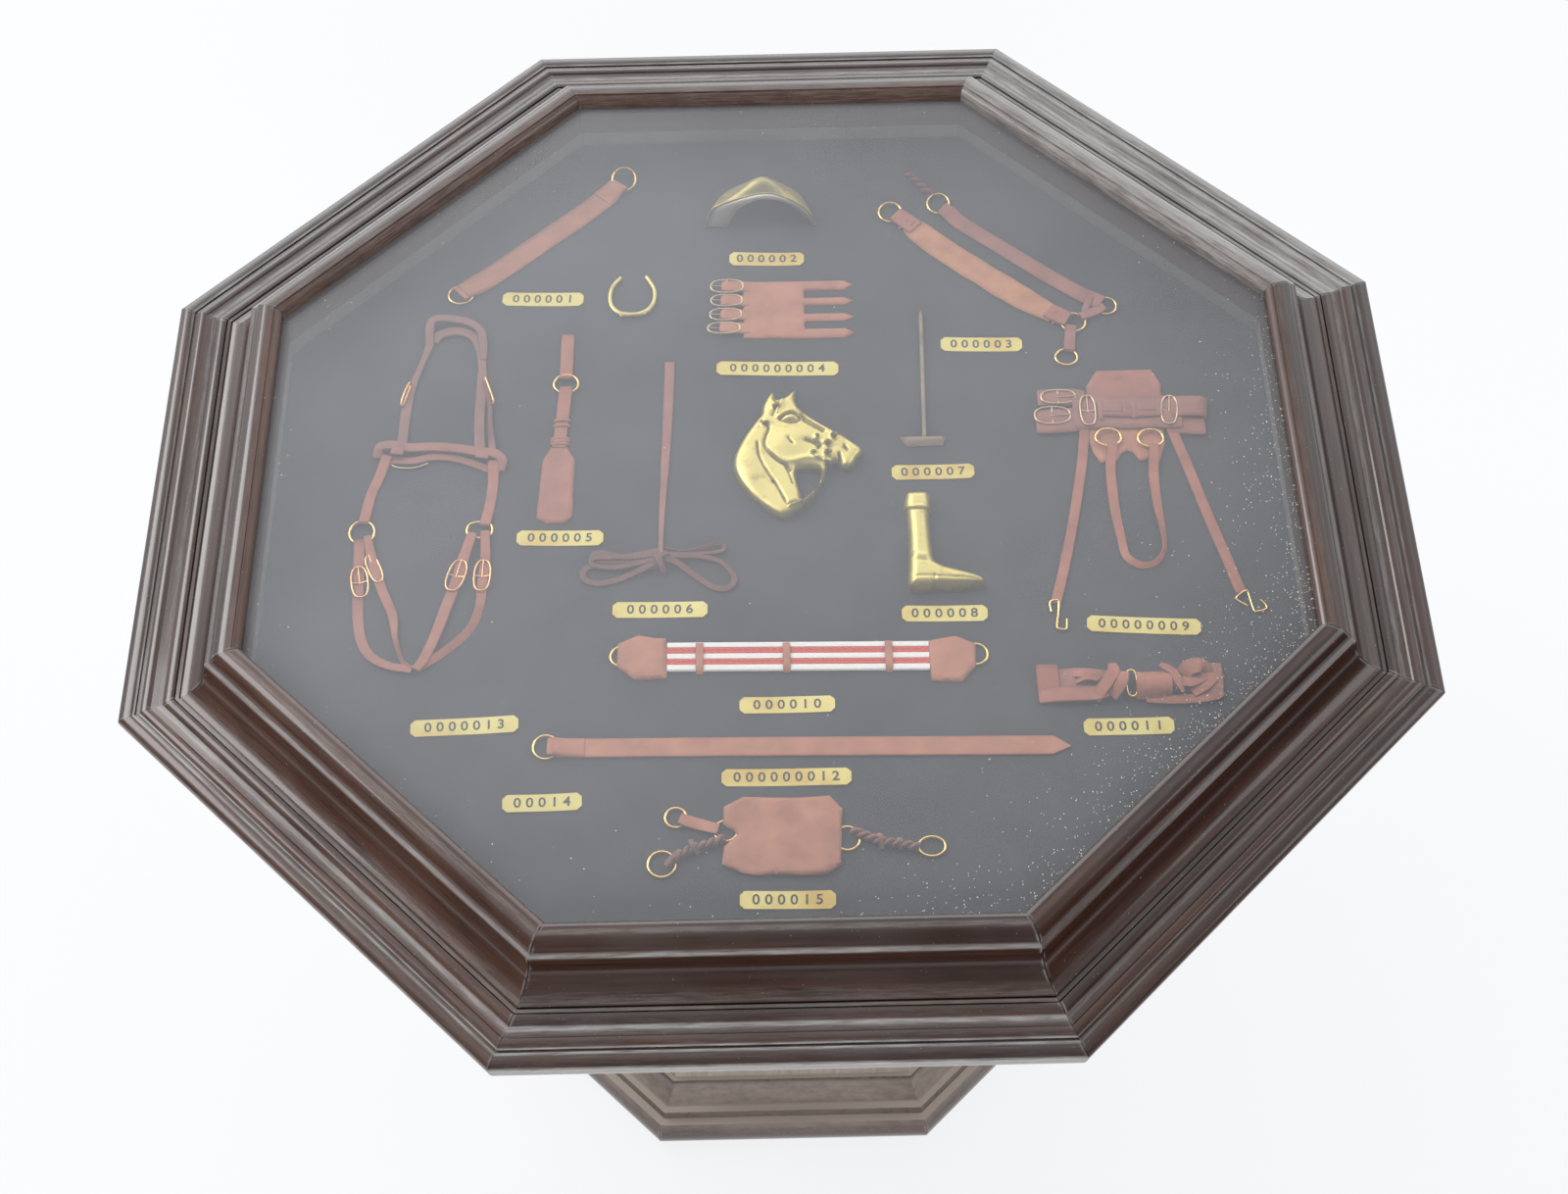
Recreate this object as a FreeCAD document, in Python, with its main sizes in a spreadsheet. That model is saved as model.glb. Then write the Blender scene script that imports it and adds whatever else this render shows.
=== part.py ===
import FreeCAD, Part
import Sketcher
import math
import os

# Octagonal side table: a hollow pedestal carries a shallow case with a stepped rim,
# and a glazed frame lifts off the case over a felt bed of saddlery miniatures.
# Millimetres, +Z up, origin on the floor under the middle of the table.

SIDES = ["front", "front_right", "right", "back_right", "back", "back_left", "left", "front_left"]
MITRE = "tan(180 deg / 8)"
CORNER = "cos(180 deg / 8)"

SIZES = {
    # Whole table
    "top_across_flats": 660,
    "total_height": 420,
    "fit_clearance": 0.3,
    # Rim of the case, stepping inward from the outer arris
    "fascia_height": 11.4,
    "fascia_undercut": 3,
    "fascia_bulge": 0.5,
    "nose_width": 7.2,
    "nose_rise": 1.6,
    "nose_bulge": 0.8,
    "quirk_edge": 0.9,
    "quirk_width": 1.6,
    "quirk_depth": 1.3,
    "band_width": 4.3,
    "band_rise": 0.7,
    "band_bulge": 0.5,
    "step_width": 0.9,
    "step_drop": 0.6,
    "ledge_width": 5.6,
    "ovolo_width": 5.4,
    "ovolo_rise": 1.2,
    "ovolo_bulge": 0.7,
    # Case under the rim
    "rail_set_back": 22,
    "felt_depth": 9.7,
    "felt_thickness": 1.5,
    "board_thickness": 6,
    "bottom_thickness": 12,
    "bottom_rebate": 16.5,
    "lining_thickness": 6,
    # Glazed frame, from its foot inward to the lip
    "joint_gap": 0.8,
    "strip_width": 1.8,
    "strip_rise": 2.4,
    "foot_quirk_width": 1.2,
    "foot_quirk_depth": 1.2,
    "cove_run": 14.2,
    "cove_rise": 18.2,
    "cove_hollow": 4.4,
    "fillet_width": 2.5,
    "fillet_rise": 1,
    "crest_run": 7.7,
    "crest_rise": 5.4,
    "crest_bulge": 1.4,
    "crest_width": 3.6,
    "crest_quirk_width": 0.8,
    "crest_quirk_depth": 0.8,
    "lip_run": 3.3,
    "lip_drop": 3.3,
    "lip_bulge": 0.4,
    "glass_recess": 4.5,
    "glass_thickness": 4,
    "glass_seat": 6.5,
    # Pedestal
    "column_across_flats": 338,
    "panel_thickness": 18,
    "top_plate_thickness": 18,
    "block_width": 40,
    "block_depth": 24,
    "block_height": 45,
    "screw_margin": 13,
    "screw_diameter": 4,
    "screw_grip": 9,
    "screw_head_diameter": 8,
    "screw_head_height": 3,
    # Moulding round the foot of the pedestal
    "torus_set": 1.5,
    "torus_height": 19.5,
    "torus_bulge": 3,
    "torus_ledge": 4.5,
    "riser_run": 1,
    "riser_height": 6,
    "riser_ledge": 3.5,
    "base_cove_run": 11,
    "base_cove_rise": 13,
    "base_cove_hollow": 3.2,
    "base_ledge": 2.5,
    # Miniatures: stock
    "leather_thickness": 1.4,
    "broad_strap": 11.5,
    "middle_strap": 8.5,
    "narrow_strap": 5.8,
    "lace_width": 4.2,
    "lace_loop_width": 2.4,
    "wire_diameter": 1.6,
    "wire_seat": 0.05,
    "ring_diameter": 11.6,
    "large_ring_diameter": 13,
    "small_ring_diameter": 9,
    "hook_sweep": 290,
    "buckle_length": 19,
    "buckle_width": 8.2,
    "buckle_bend": 3.6,
    "label_height": 9.6,
    "label_thickness": 0.4,
    "label_clip": 1.8,
    # Miniatures: single pieces
    "shoe_diameter": 25.6,
    "shoe_bar_diameter": 3.2,
    "shoe_sweep": 285,
    "cap_length": 63,
    "cap_height": 15,
    "cap_crown": 3.8,
    "cap_flat": 3,
    "cap_wall": 1,
    "head_height": 7,
    "head_rounding": 0.6,
    "boot_height": 9,
    "boot_rounding": 2,
    "mallet_length": 88,
    "mallet_shaft_diameter": 2.4,
    "mallet_head_length": 23,
    "mallet_head_diameter": 4.6,
    "web_length": 133,
    "web_width": 17.5,
    "web_thickness": 2,
    "keeper_width": 4,
    "keeper_thickness": 0.8,
    "belt_length": 91,
    "hobble_height": 5,
    "hobble_rounding": 1,
}

doc = FreeCAD.newDocument("DisplayTable")
sheet = doc.addObject("Spreadsheet::Sheet", "Sizes")
for row, (alias, value) in enumerate(SIZES.items(), start=1):
    sheet.set("A%d" % row, alias)
    sheet.set("B%d" % row, str(value))
    sheet.setAlias("B%d" % row, alias)
doc.recompute()


def cell(alias):
    """Expression that reads one size."""
    return "Sizes." + alias


def total(*aliases):
    """Expression for the sum of several sizes."""
    return "(" + " + ".join(cell(alias) for alias in aliases) + ")"


def number(text):
    """Value of an expression, in millimetres or as a plain number."""
    return float(sheet.evalExpression(text))


# Levels and reaches that several pieces share
HALF = "(%s / 2)" % cell("top_across_flats")
LID_RISE = total("strip_rise", "cove_rise", "fillet_rise", "crest_rise")
ARRIS = "(%s - %s)" % (cell("total_height"), LID_RISE)
RIM_WIDTH = total("nose_width", "quirk_edge", "quirk_width", "quirk_edge", "band_width",
                  "step_width", "ledge_width", "ovolo_width")
FOOT_INSET = "(%s + %s)" % (RIM_WIDTH, cell("joint_gap"))
LIP_INSET = "(%s + %s)" % (FOOT_INSET, total("strip_width", "foot_quirk_width", "cove_run",
                                             "fillet_width", "crest_run", "crest_width",
                                             "crest_quirk_width", "lip_run"))
DISPLAY_HALF = "(%s - %s)" % (HALF, LIP_INSET)
WALL_HALF = "(%s + %s)" % (DISPLAY_HALF, cell("lining_thickness"))
REBATE_HALF = "(%s + %s)" % (WALL_HALF, cell("bottom_rebate"))
GLASS_HALF = "(%s + %s)" % (DISPLAY_HALF, cell("glass_seat"))
GLASS_TOP = "(%s + %s - %s)" % (ARRIS, LID_RISE, total("lip_drop", "glass_recess"))
GLASS_UNDER = "(%s - %s)" % (GLASS_TOP, cell("glass_thickness"))
FELT_TOP = "(%s - %s)" % (ARRIS, cell("felt_depth"))
FELT_UNDER = "(%s - %s)" % (FELT_TOP, cell("felt_thickness"))
BOARD_UNDER = "(%s - %s)" % (FELT_UNDER, cell("board_thickness"))
CASE_UNDER = "(%s - %s)" % (BOARD_UNDER, cell("bottom_thickness"))
PLATE_UNDER = "(%s - %s)" % (CASE_UNDER, cell("top_plate_thickness"))
COLUMN_HALF = "(%s / 2)" % cell("column_across_flats")
COLUMN_INNER = "(%s - %s)" % (COLUMN_HALF, cell("panel_thickness"))
BASE_WIDTH = total("torus_set", "torus_ledge", "riser_run", "riser_ledge", "base_cove_run",
                   "base_ledge")

# The miniatures are drawn for a display of this half width and grow or shrink with it
DRAWN_HALF = 267.3
UNIT = "(%s / %g)" % (DISPLAY_HALF, DRAWN_HALF)


def drawn(length):
    """Expression for a length drawn on the felt."""
    return "(%g * %s)" % (length, UNIT)


def mini(alias):
    """Expression for a miniature's size, which grows with the display."""
    return "(%s * %s)" % (cell(alias), UNIT)


LEATHER_TOP = "(%s + %s)" % (FELT_TOP, mini("leather_thickness"))
WIRE_LIFT = "(%s / 2 + %s)" % (mini("wire_diameter"), mini("wire_seat"))
WIRE_LEVEL = "(%s + %s)" % (FELT_TOP, WIRE_LIFT)

nodes = {}


def keep(label, made):
    """Name a finished sub-part."""
    made.Label = label
    nodes[label] = made
    return made


def origin_plane(body, role):
    return [plane for plane in body.Origin.OriginFeatures if plane.Role == role][0]


def new_sketch(body, role):
    sketch = body.newObject("Sketcher::SketchObject", body.Name + "Sketch")
    sketch.AttachmentSupport = [(origin_plane(body, role), "")]
    sketch.MapMode = "FlatFace"
    return sketch


def walk(start_x, start_z, steps):
    """Corners of a moulding from steps inward: each is run, rise and an optional arc."""
    corners = []
    x, z = start_x, start_z
    for run, rise, arc in steps:
        corners.append((x, z, arc))
        x = "(%s - %s)" % (x, run)
        z = "(%s + %s)" % (z, rise)
    corners.append((x, z, None))
    return corners


def draw(sketch, corners):
    """Closed outline, anticlockwise, tied to expressions; an arc is its side and its depth."""
    places = [(number(x), number(y)) for x, y, arc in corners]
    ends = []
    for index, (x, y, arc) in enumerate(corners):
        a = FreeCAD.Vector(*places[index], 0)
        b = FreeCAD.Vector(*places[(index + 1) % len(corners)], 0)
        if arc is None:
            ends.append((sketch.addGeometry(Part.LineSegment(a, b)), 1, 2))
            continue
        side, depth = arc
        outward = FreeCAD.Vector(b.y - a.y, a.x - b.x, 0).normalize()
        push = number(depth) if side == "out" else -number(depth)
        element = sketch.addGeometry(Part.Arc(a, (a + b) * 0.5 + outward * push, b))
        ends.append((element, 1, 2) if side == "out" else (element, 2, 1))
    joins = []
    bound = []
    for index, (x, y, arc) in enumerate(corners):
        element, first, last = ends[index]
        next_element, next_first, next_last = ends[(index + 1) % len(corners)]
        joins.append(Sketcher.Constraint("Coincident", element, last, next_element, next_first))
        bound.append((("DistanceX", -1, 1, element, first), x))
        bound.append((("DistanceY", -1, 1, element, first), y))
        if arc is not None:
            next_x, next_y, next_arc = corners[(index + 1) % len(corners)]
            chord = "((%s - %s)^2 + (%s - %s)^2)" % (next_x, x, next_y, y)
            bound.append((("Radius", element), "(%s / (8 * %s) + %s / 2)" % (chord, arc[1], arc[1])))
    sketch.addConstraint(joins)
    bind_lengths(sketch, bound)


def bind_lengths(sketch, bound):
    """Add sketch dimensions, each tied to its expression."""
    first = sketch.ConstraintCount
    sketch.addConstraint([Sketcher.Constraint(*wanted, number(text)) for wanted, text in bound])
    for index, (wanted, text) in enumerate(bound, start=first):
        sketch.setExpression("Constraints[%d]" % index, text)


def mitred_bar(name, corners, inner, outer, short):
    """A length of moulding whose ends are cut on the octagon's mitre planes, or short of them."""
    body = doc.addObject("PartDesign::Body", name)
    section = new_sketch(body, "XZ_Plane")
    draw(section, corners)
    bar = body.newObject("PartDesign::Pad", name + "Bar")
    bar.Profile = section
    bar.SideType = "Symmetric"
    reach = "(%s + %s)" % (outer, cell("bottom_rebate"))
    near = "(%s - %s)" % (inner, cell("bottom_rebate"))
    bar.setExpression("Length", "2 * %s * %s" % (reach, MITRE))
    waste = new_sketch(body, "XY_Plane")
    edge = "(%s * 2 * %s)" % (reach, MITRE)
    near_end = "(%s * %s - %s)" % (near, MITRE, short)
    far_end = "(%s * %s - %s)" % (reach, MITRE, short)
    draw(waste, [(near, near_end, None), (reach, far_end, None), (reach, edge, None), (near, edge, None)])
    draw(waste, [(near, "-" + edge, None), (reach, "-" + edge, None),
                 (reach, "-" + far_end, None), (near, "-" + near_end, None)])
    mitre = body.newObject("PartDesign::Pocket", name + "Mitre")
    mitre.Profile = waste
    mitre.Type = "ThroughAll"
    mitre.SideType = "Symmetric"
    return body


def ring_of_bars(name, corners, inner, outer, short="0"):
    """Eight mitred bars round the table, the front one first."""
    bars = []
    for index, side in enumerate(SIDES):
        body = mitred_bar("%s_%s" % (name, side), corners, inner, outer, short)
        turn = index * 360 / len(SIDES) - 90
        body.Placement = FreeCAD.Placement(FreeCAD.Vector(), FreeCAD.Rotation(FreeCAD.Vector(0, 0, 1), turn))
        bars.append(body)
    return bars


def group(label, members):
    """Separate solids that share one node."""
    made = doc.addObject("Part::Compound", label)
    made.Links = members
    return keep(label, made)


def octagon(name, half, under, thickness):
    """A flat octagonal panel, its flats facing the four axes."""
    panel = doc.addObject("Part::Prism", name)
    panel.Polygon = len(SIDES)
    panel.setExpression("Circumradius", "%s / %s" % (half, CORNER))
    panel.setExpression("Height", thickness)
    turn = FreeCAD.Rotation(FreeCAD.Vector(0, 0, 1), 180 / len(SIDES))
    panel.Placement = FreeCAD.Placement(FreeCAD.Vector(), turn)
    panel.setExpression("Placement.Base.z", under)
    return panel


def put(made, x, y, z, turn=FreeCAD.Rotation()):
    """Give an object its place by expressions."""
    made.Placement = FreeCAD.Placement(FreeCAD.Vector(), turn)
    made.setExpression("Placement.Base.x", x)
    made.setExpression("Placement.Base.y", y)
    made.setExpression("Placement.Base.z", z)
    return made


def cylinder(name, diameter, height):
    made = doc.addObject("Part::Cylinder", name)
    made.setExpression("Radius", "%s / 2" % diameter)
    made.setExpression("Height", height)
    return made


# Case: stepped rim rails, bottom panel, display board, felt and wall linings
def rim_corners():
    out = "out"
    moulding = [
        (cell("nose_width"), cell("nose_rise"), (out, cell("nose_bulge"))),
        (cell("quirk_edge"), "0", None),
        ("0", "-%s" % cell("quirk_depth"), None),
        (cell("quirk_width"), "0", None),
        ("0", cell("quirk_depth"), None),
        (cell("quirk_edge"), "0", None),
        (cell("band_width"), cell("band_rise"), (out, cell("band_bulge"))),
        (cell("step_width"), "-%s" % cell("step_drop"), None),
        (cell("ledge_width"), "0", None),
        (cell("ovolo_width"), cell("ovolo_rise"), (out, cell("ovolo_bulge"))),
    ]
    fascia_under = "(%s - %s)" % (ARRIS, cell("fascia_height"))
    side = "(%s - %s)" % (HALF, cell("rail_set_back"))
    below = [
        (WALL_HALF, BOARD_UNDER, None),
        (REBATE_HALF, BOARD_UNDER, None),
        (REBATE_HALF, CASE_UNDER, None),
        (side, CASE_UNDER, None),
        (side, fascia_under, None),
        ("(%s - %s)" % (HALF, cell("fascia_undercut")), fascia_under, (out, cell("fascia_bulge"))),
    ]
    seat = [("(%s - %s)" % (HALF, RIM_WIDTH), ARRIS, None), (WALL_HALF, ARRIS, None)]
    return below + walk(HALF, ARRIS, moulding) + seat


for side, rail in zip(SIDES, ring_of_bars("rim_rail", rim_corners(), WALL_HALF, HALF)):
    keep("rim_rail_" + side, rail)


def screw_holes(name, under, depth):
    """Cutters for the ring of screws that hold the case to the pedestal."""
    cutters = []
    for index, side in enumerate(SIDES):
        cutter = cylinder("%s_%s" % (name, side), total("screw_diameter", "fit_clearance"), depth)
        cutters.append(on_screw_circle(cutter, index, under))
    made = doc.addObject("Part::Compound", name)
    made.Links = cutters
    return made


def on_screw_circle(made, index, under):
    """Stand a screw or its cutter inside the ring of glue blocks."""
    angle = "%g deg" % (index * 360 / len(SIDES))
    head_reach = "(%s - %s)" % (COLUMN_INNER, total("block_depth", "screw_margin"))
    circle = "(%s - %s / 2)" % (head_reach, cell("screw_head_diameter"))
    return put(made, "%s * cos(%s)" % (circle, angle), "%s * sin(%s)" % (circle, angle), under)


def drilled(label, half, under, thickness, hole_depth):
    cut = doc.addObject("Part::Cut", label)
    cut.Base = octagon(label + "_blank", half, under, thickness)
    cut.Tool = screw_holes(label + "_holes", under, hole_depth)
    return keep(label, cut)


BOTTOM_HALF = "(%s - %s)" % (REBATE_HALF, cell("fit_clearance"))
GRIP = total("screw_grip", "fit_clearance")
drilled("case_bottom", BOTTOM_HALF, CASE_UNDER, cell("bottom_thickness"), GRIP)
SHEET_HALF = "(%s - %s)" % (WALL_HALF, cell("fit_clearance"))
keep("display_board", octagon("display_board", SHEET_HALF, BOARD_UNDER, cell("board_thickness")))
keep("felt_lining", octagon("felt_lining", SHEET_HALF, FELT_UNDER, cell("felt_thickness")))


def upright(inner, outer, under, over):
    """Rectangular section of an upright strip."""
    return [(inner, under, None), (outer, under, None), (outer, over, None), (inner, over, None)]


LINING_OVER = "(%s - %s)" % (ARRIS, cell("fit_clearance"))
lining = upright(DISPLAY_HALF, WALL_HALF, FELT_TOP, LINING_OVER)
JOINT = cell("fit_clearance")
group("wall_linings", ring_of_bars("wall_lining", lining, DISPLAY_HALF, WALL_HALF, JOINT))


# Glazed frame that lifts off: cove rails, glass and the beads that hold it up
def frame_corners():
    lip_fall = "(%s - %s)" % (cell("crest_quirk_depth"), cell("lip_drop"))
    moulding = [
        (cell("strip_width"), "0", None),
        ("0", "-%s" % cell("foot_quirk_depth"), None),
        (cell("foot_quirk_width"), "0", None),
        ("0", cell("foot_quirk_depth"), None),
        (cell("cove_run"), cell("cove_rise"), ("in", cell("cove_hollow"))),
        (cell("fillet_width"), cell("fillet_rise"), None),
        (cell("crest_run"), cell("crest_rise"), ("out", cell("crest_bulge"))),
        (cell("crest_width"), "0", None),
        ("0", "-%s" % cell("crest_quirk_depth"), None),
        (cell("crest_quirk_width"), "0", None),
        (cell("lip_run"), lip_fall, ("out", cell("lip_bulge"))),
    ]
    foot = "(%s - %s)" % (HALF, FOOT_INSET)
    under = [(GLASS_HALF, ARRIS, None), (foot, ARRIS, None)]
    rebate = [(DISPLAY_HALF, GLASS_TOP, None), (GLASS_HALF, GLASS_TOP, None)]
    return under + walk(foot, "(%s + %s)" % (ARRIS, cell("strip_rise")), moulding) + rebate


FRAME_OUTER = "(%s - %s)" % (HALF, FOOT_INSET)
for side, rail in zip(SIDES, ring_of_bars("frame_rail", frame_corners(), DISPLAY_HALF, FRAME_OUTER)):
    keep("frame_rail_" + side, rail)
PANE_HALF = "(%s - %s)" % (GLASS_HALF, cell("fit_clearance"))
keep("glass_pane", octagon("glass_pane", PANE_HALF, GLASS_UNDER, cell("glass_thickness")))
BEAD_UNDER = "(%s + %s)" % (ARRIS, cell("fit_clearance"))
bead = upright(DISPLAY_HALF, PANE_HALF, BEAD_UNDER, GLASS_UNDER)
group("glazing_beads", ring_of_bars("glazing_bead", bead, DISPLAY_HALF, PANE_HALF, JOINT))

# Pedestal: bevelled panels, base moulding, top plate with its glue blocks and screws
stave = upright(COLUMN_INNER, COLUMN_HALF, "0", CASE_UNDER)
for side, panel in zip(SIDES, ring_of_bars("pedestal_panel", stave, COLUMN_INNER, COLUMN_HALF)):
    keep("pedestal_panel_" + side, panel)


def base_corners():
    foot = "(%s + %s)" % (COLUMN_HALF, BASE_WIDTH)
    moulding = [
        (cell("torus_set"), cell("torus_height"), ("out", cell("torus_bulge"))),
        (cell("torus_ledge"), "0", None),
        (cell("riser_run"), cell("riser_height"), None),
        (cell("riser_ledge"), "0", None),
        (cell("base_cove_run"), cell("base_cove_rise"), ("in", cell("base_cove_hollow"))),
        (cell("base_ledge"), "0", None),
    ]
    return [(COLUMN_HALF, "0", None)] + walk(foot, "0", moulding)


BASE_OUTER = "(%s + %s + %s)" % (COLUMN_HALF, BASE_WIDTH, cell("torus_bulge"))
for side, moulding in zip(SIDES, ring_of_bars("base_moulding", base_corners(), COLUMN_HALF, BASE_OUTER)):
    keep("base_moulding_" + side, moulding)

PLATE_HALF = "(%s - %s)" % (COLUMN_INNER, cell("fit_clearance"))
PLATE_DEEP = cell("top_plate_thickness")
drilled("pedestal_top_plate", PLATE_HALF, PLATE_UNDER, PLATE_DEEP, PLATE_DEEP)

blocks = []
for index, side in enumerate(SIDES):
    block = doc.addObject("Part::Box", "glue_block_" + side)
    block.setExpression("Length", cell("block_depth"))
    block.setExpression("Width", cell("block_width"))
    block.setExpression("Height", cell("block_height"))
    turn = index * 360 / len(SIDES)
    reach = "(%s - %s)" % (COLUMN_INNER, cell("block_depth"))
    x = "%s * cos(%g deg) + %s / 2 * sin(%g deg)" % (reach, turn, cell("block_width"), turn)
    y = "%s * sin(%g deg) - %s / 2 * cos(%g deg)" % (reach, turn, cell("block_width"), turn)
    under = "%s - %s" % (PLATE_UNDER, cell("block_height"))
    blocks.append(put(block, x, y, under, FreeCAD.Rotation(FreeCAD.Vector(0, 0, 1), turn)))
group("glue_blocks", blocks)

screws = []
for index, side in enumerate(SIDES):
    length = total("top_plate_thickness", "screw_grip")
    shank = cylinder("screw_shank_" + side, cell("screw_diameter"), length)
    head = cylinder("screw_head_" + side, cell("screw_head_diameter"), cell("screw_head_height"))
    screw = doc.addObject("Part::Fuse", "case_screw_" + side)
    screw.Base = on_screw_circle(shank, index, PLATE_UNDER)
    screw.Tool = on_screw_circle(head, index, "%s - %s" % (PLATE_UNDER, cell("screw_head_height")))
    screws.append(screw)
group("case_screws", screws)


# Miniatures: the spot of each on the felt, east and north of the middle
PLACES = {
    "girth": (-131, 189.8),
    "cap": (-6.4, 195.9),
    "shoe": (-78.9, 145.9),
    "guard": (0, 133.9),
    "breast": (128, 164.9),
    "headstall": (-185, 9.9),
    "flap": (-116, 50),
    "lace": (-59.9, -39),
    "horse": (9.9, 29.9),
    "mallet": (79.9, 36.9),
    "boot": (79.9, -29.9),
    "roller": (190.1, 50),
    "web": (9.1, -101),
    "hobble": (175.9, -121.9),
    "over": (15, -155),
    "pad": (0, -205),
}


def spot(item, east, north):
    """Expressions for a place counted from an item's spot."""
    item_east, item_north = PLACES[item]
    return drawn(item_east + east), drawn(item_north + north)


def strap_pieces(item, name, route, width):
    """Flat leather along a route: a bar for each run and a disc at each bend."""
    made = []
    for index, ((ax, ay), (bx, by)) in enumerate(zip(route, route[1:])):
        run = doc.addObject("Part::Box", "%s_run%d" % (name, index))
        run.setExpression("Length", drawn(math.hypot(bx - ax, by - ay)))
        run.setExpression("Width", mini(width))
        run.setExpression("Height", mini("leather_thickness"))
        angle = math.degrees(math.atan2(by - ay, bx - ax))
        x, y = spot(item, ax, ay)
        x += " + %s / 2 * sin(%g deg)" % (mini(width), angle)
        y += " - %s / 2 * cos(%g deg)" % (mini(width), angle)
        made.append(put(run, x, y, FELT_TOP, FreeCAD.Rotation(FreeCAD.Vector(0, 0, 1), angle)))
    for index, (east, north) in enumerate(route[1:-1]):
        bend = cylinder("%s_bend%d" % (name, index), mini(width), mini("leather_thickness"))
        made.append(put(bend, *spot(item, east, north), FELT_TOP))
    return made


def fused(label, pieces):
    if len(pieces) == 1:
        return keep(label, pieces[0])
    made = doc.addObject("Part::MultiFuse", label)
    made.Shapes = pieces
    made.Refine = True
    return keep(label, made)


def plate(item, name, points, thickness, gap=(), under=FELT_TOP):
    """A flat piece cut to an outline round its item's spot, with a gap through it if wanted."""
    body = doc.addObject("PartDesign::Body", name)
    outline = new_sketch(body, "XY_Plane")
    for loop in (points, gap):
        draw(outline, [(drawn(east), drawn(north), None) for east, north in loop])
    sheet_pad = body.newObject("PartDesign::Pad", name + "Pad")
    sheet_pad.Profile = outline
    sheet_pad.setExpression("Length", thickness)
    return put(body, *spot(item, 0, 0), under)


def soften(body, radius):
    """Round the upper edges of a cast or padded piece."""
    doc.recompute()
    blank = body.Tip
    top = max(range(len(body.Shape.Faces)), key=lambda face: body.Shape.Faces[face].CenterOfMass.z)
    rounding = body.newObject("PartDesign::Fillet", body.Name + "Rounding")
    rounding.Base = (blank, ["Face%d" % (top + 1)])
    rounding.setExpression("Radius", radius)
    return body


HORSE_OUTLINE = [
    (-9, -43), (-2, -42), (4, -34), (11, -24), (16.5, -15), (18, -7), (22, -9), (27, -11), (31, -8),
    (35, -2), (37, 3), (35, 6), (22, 17), (12, 25), (4, 32), (1.5, 37), (0.5, 45), (-3.5, 42),
    (-8, 37), (-11.5, 43), (-17.5, 34), (-19, 26.5), (-27.5, 10.5), (-32.5, -5), (-31.5, -14),
    (-27.5, -24), (-20.5, -33),
]
HORSE_REIN_GAP = [(1, -11), (8, -8.5), (13.5, -10), (14, -16), (9.5, -24), (4.5, -29), (2.5, -20)]
BOOT_OUTLINE = [
    (-10, 31), (-8, 33.5), (-2, 33.5), (0, 31), (0.5, 20.5), (0, 13), (1, -5), (3, -13), (11, -18),
    (24, -21), (28.5, -24), (28, -27.5), (19.5, -30), (3, -28), (1.5, -31), (-7, -31), (-10, -27),
    (-9, -11), (-9.5, 13), (-10.5, 20.5),
][::-1]
GUARD_OUTLINE = [
    (-19, -19), (18, -19), (42, -19), (45, -16), (42, -13), (18, -13), (18, -8.5), (42, -8.5), (45, -5.5),
    (42, -2.5), (18, -2.5), (18, 2), (42, 2), (45, 5), (42, 8), (18, 8), (18, 12.5), (42, 12.5), (45, 15.5),
    (42, 18.5), (-19, 18.5),
]
FLAP_OUTLINE = [
    (-4, 24), (-4, -12), (-9, -22), (-9.5, -58), (-6, -62), (3, -62), (7, -58), (8, -22), (4, -12), (4, 24),
]
PAD_OUTLINE = [
    (-29, -17), (-18, -22), (20, -22), (28.5, -16), (28.5, 13), (22, 21), (-19, 22), (-29, 16), (-29, 7),
    (-22, 1), (-29, -5),
]
HOBBLE_OUTLINE = [
    (-47, -9), (-20, -9), (-14, -6), (14, -6), (22, -9), (46, -9), (46, 8), (34, 9), (28, 6), (14, 6),
    (8, 5), (-8, 5), (-14, 8), (-24, 5), (-34, 7), (-47, 9),
]
ROLLER_PAD = [
    (-20, 10), (20, 10), (21, 23), (17, 34), (-14, 34), (-20, 22),
]
ROLLER_TAIL = [
    (-21, -5), (-17, -22), (-14, -29), (-8, -28), (-3, -22), (3, -22), (8, -29), (14, -26), (19, -5),
]


def routed(item, name, routes):
    """Strap pieces for several routes of one item."""
    pieces = []
    for index, (width, route) in enumerate(routes):
        pieces += strap_pieces(item, "%s_%d" % (name, index), route, width)
    return pieces


def strap_node(item, label, routes):
    return fused(label, routed(item, label, routes))


strap_node("girth", "girth_strap", [("broad_strap", [(39.5, 40), (-39, -32.5)])])
strap_node("over", "overgirth", [
    ("broad_strap", [(-125, 4), (117, -2)]),
    ("lace_width", [(117, -2), (127, -2.4)]),
])
strap_node("breast", "breastplate", [
    ("broad_strap", [(-54.7, 36.2), (31.5, -41.5)]),
    ("middle_strap", [(-27.2, 41.7), (51, -29.5)]),
    ("lace_width", [(-46, 69), (-36.5, 54)]),
    ("narrow_strap", [(36.5, -54), (34.5, -64)]),
])
strap_node("headstall", "headstall", [
    ("narrow_strap", [(-9, 102), (-7, 112), (2, 116), (14, 114), (20, 108), (19, 95), (27, 65), (26, 27)]),
    ("narrow_strap", [(-9, 102), (-17, 68), (-19, 27)]),
    ("narrow_strap", [(-24, 27), (30, 25)]),
    ("narrow_strap", [(-22, 26), (-28, 0), (-33, -17.5)]),
    ("narrow_strap", [(29, 25), (30, 0), (28.5, -20.5)]),
    ("narrow_strap", [(-34, -32.5), (-33, -72), (-30, -94), (-22, -108), (-10, -115), (0, -115), (6, -106),
                      (13, -84), (21, -60), (26, -35.5)]),
    ("narrow_strap", [(-30, -32), (-18, -64), (-10, -90), (-6, -112)]),
    ("narrow_strap", [(30.5, -35.8), (32, -62), (28, -84), (14, -102), (2, -113)]),
])
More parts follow.
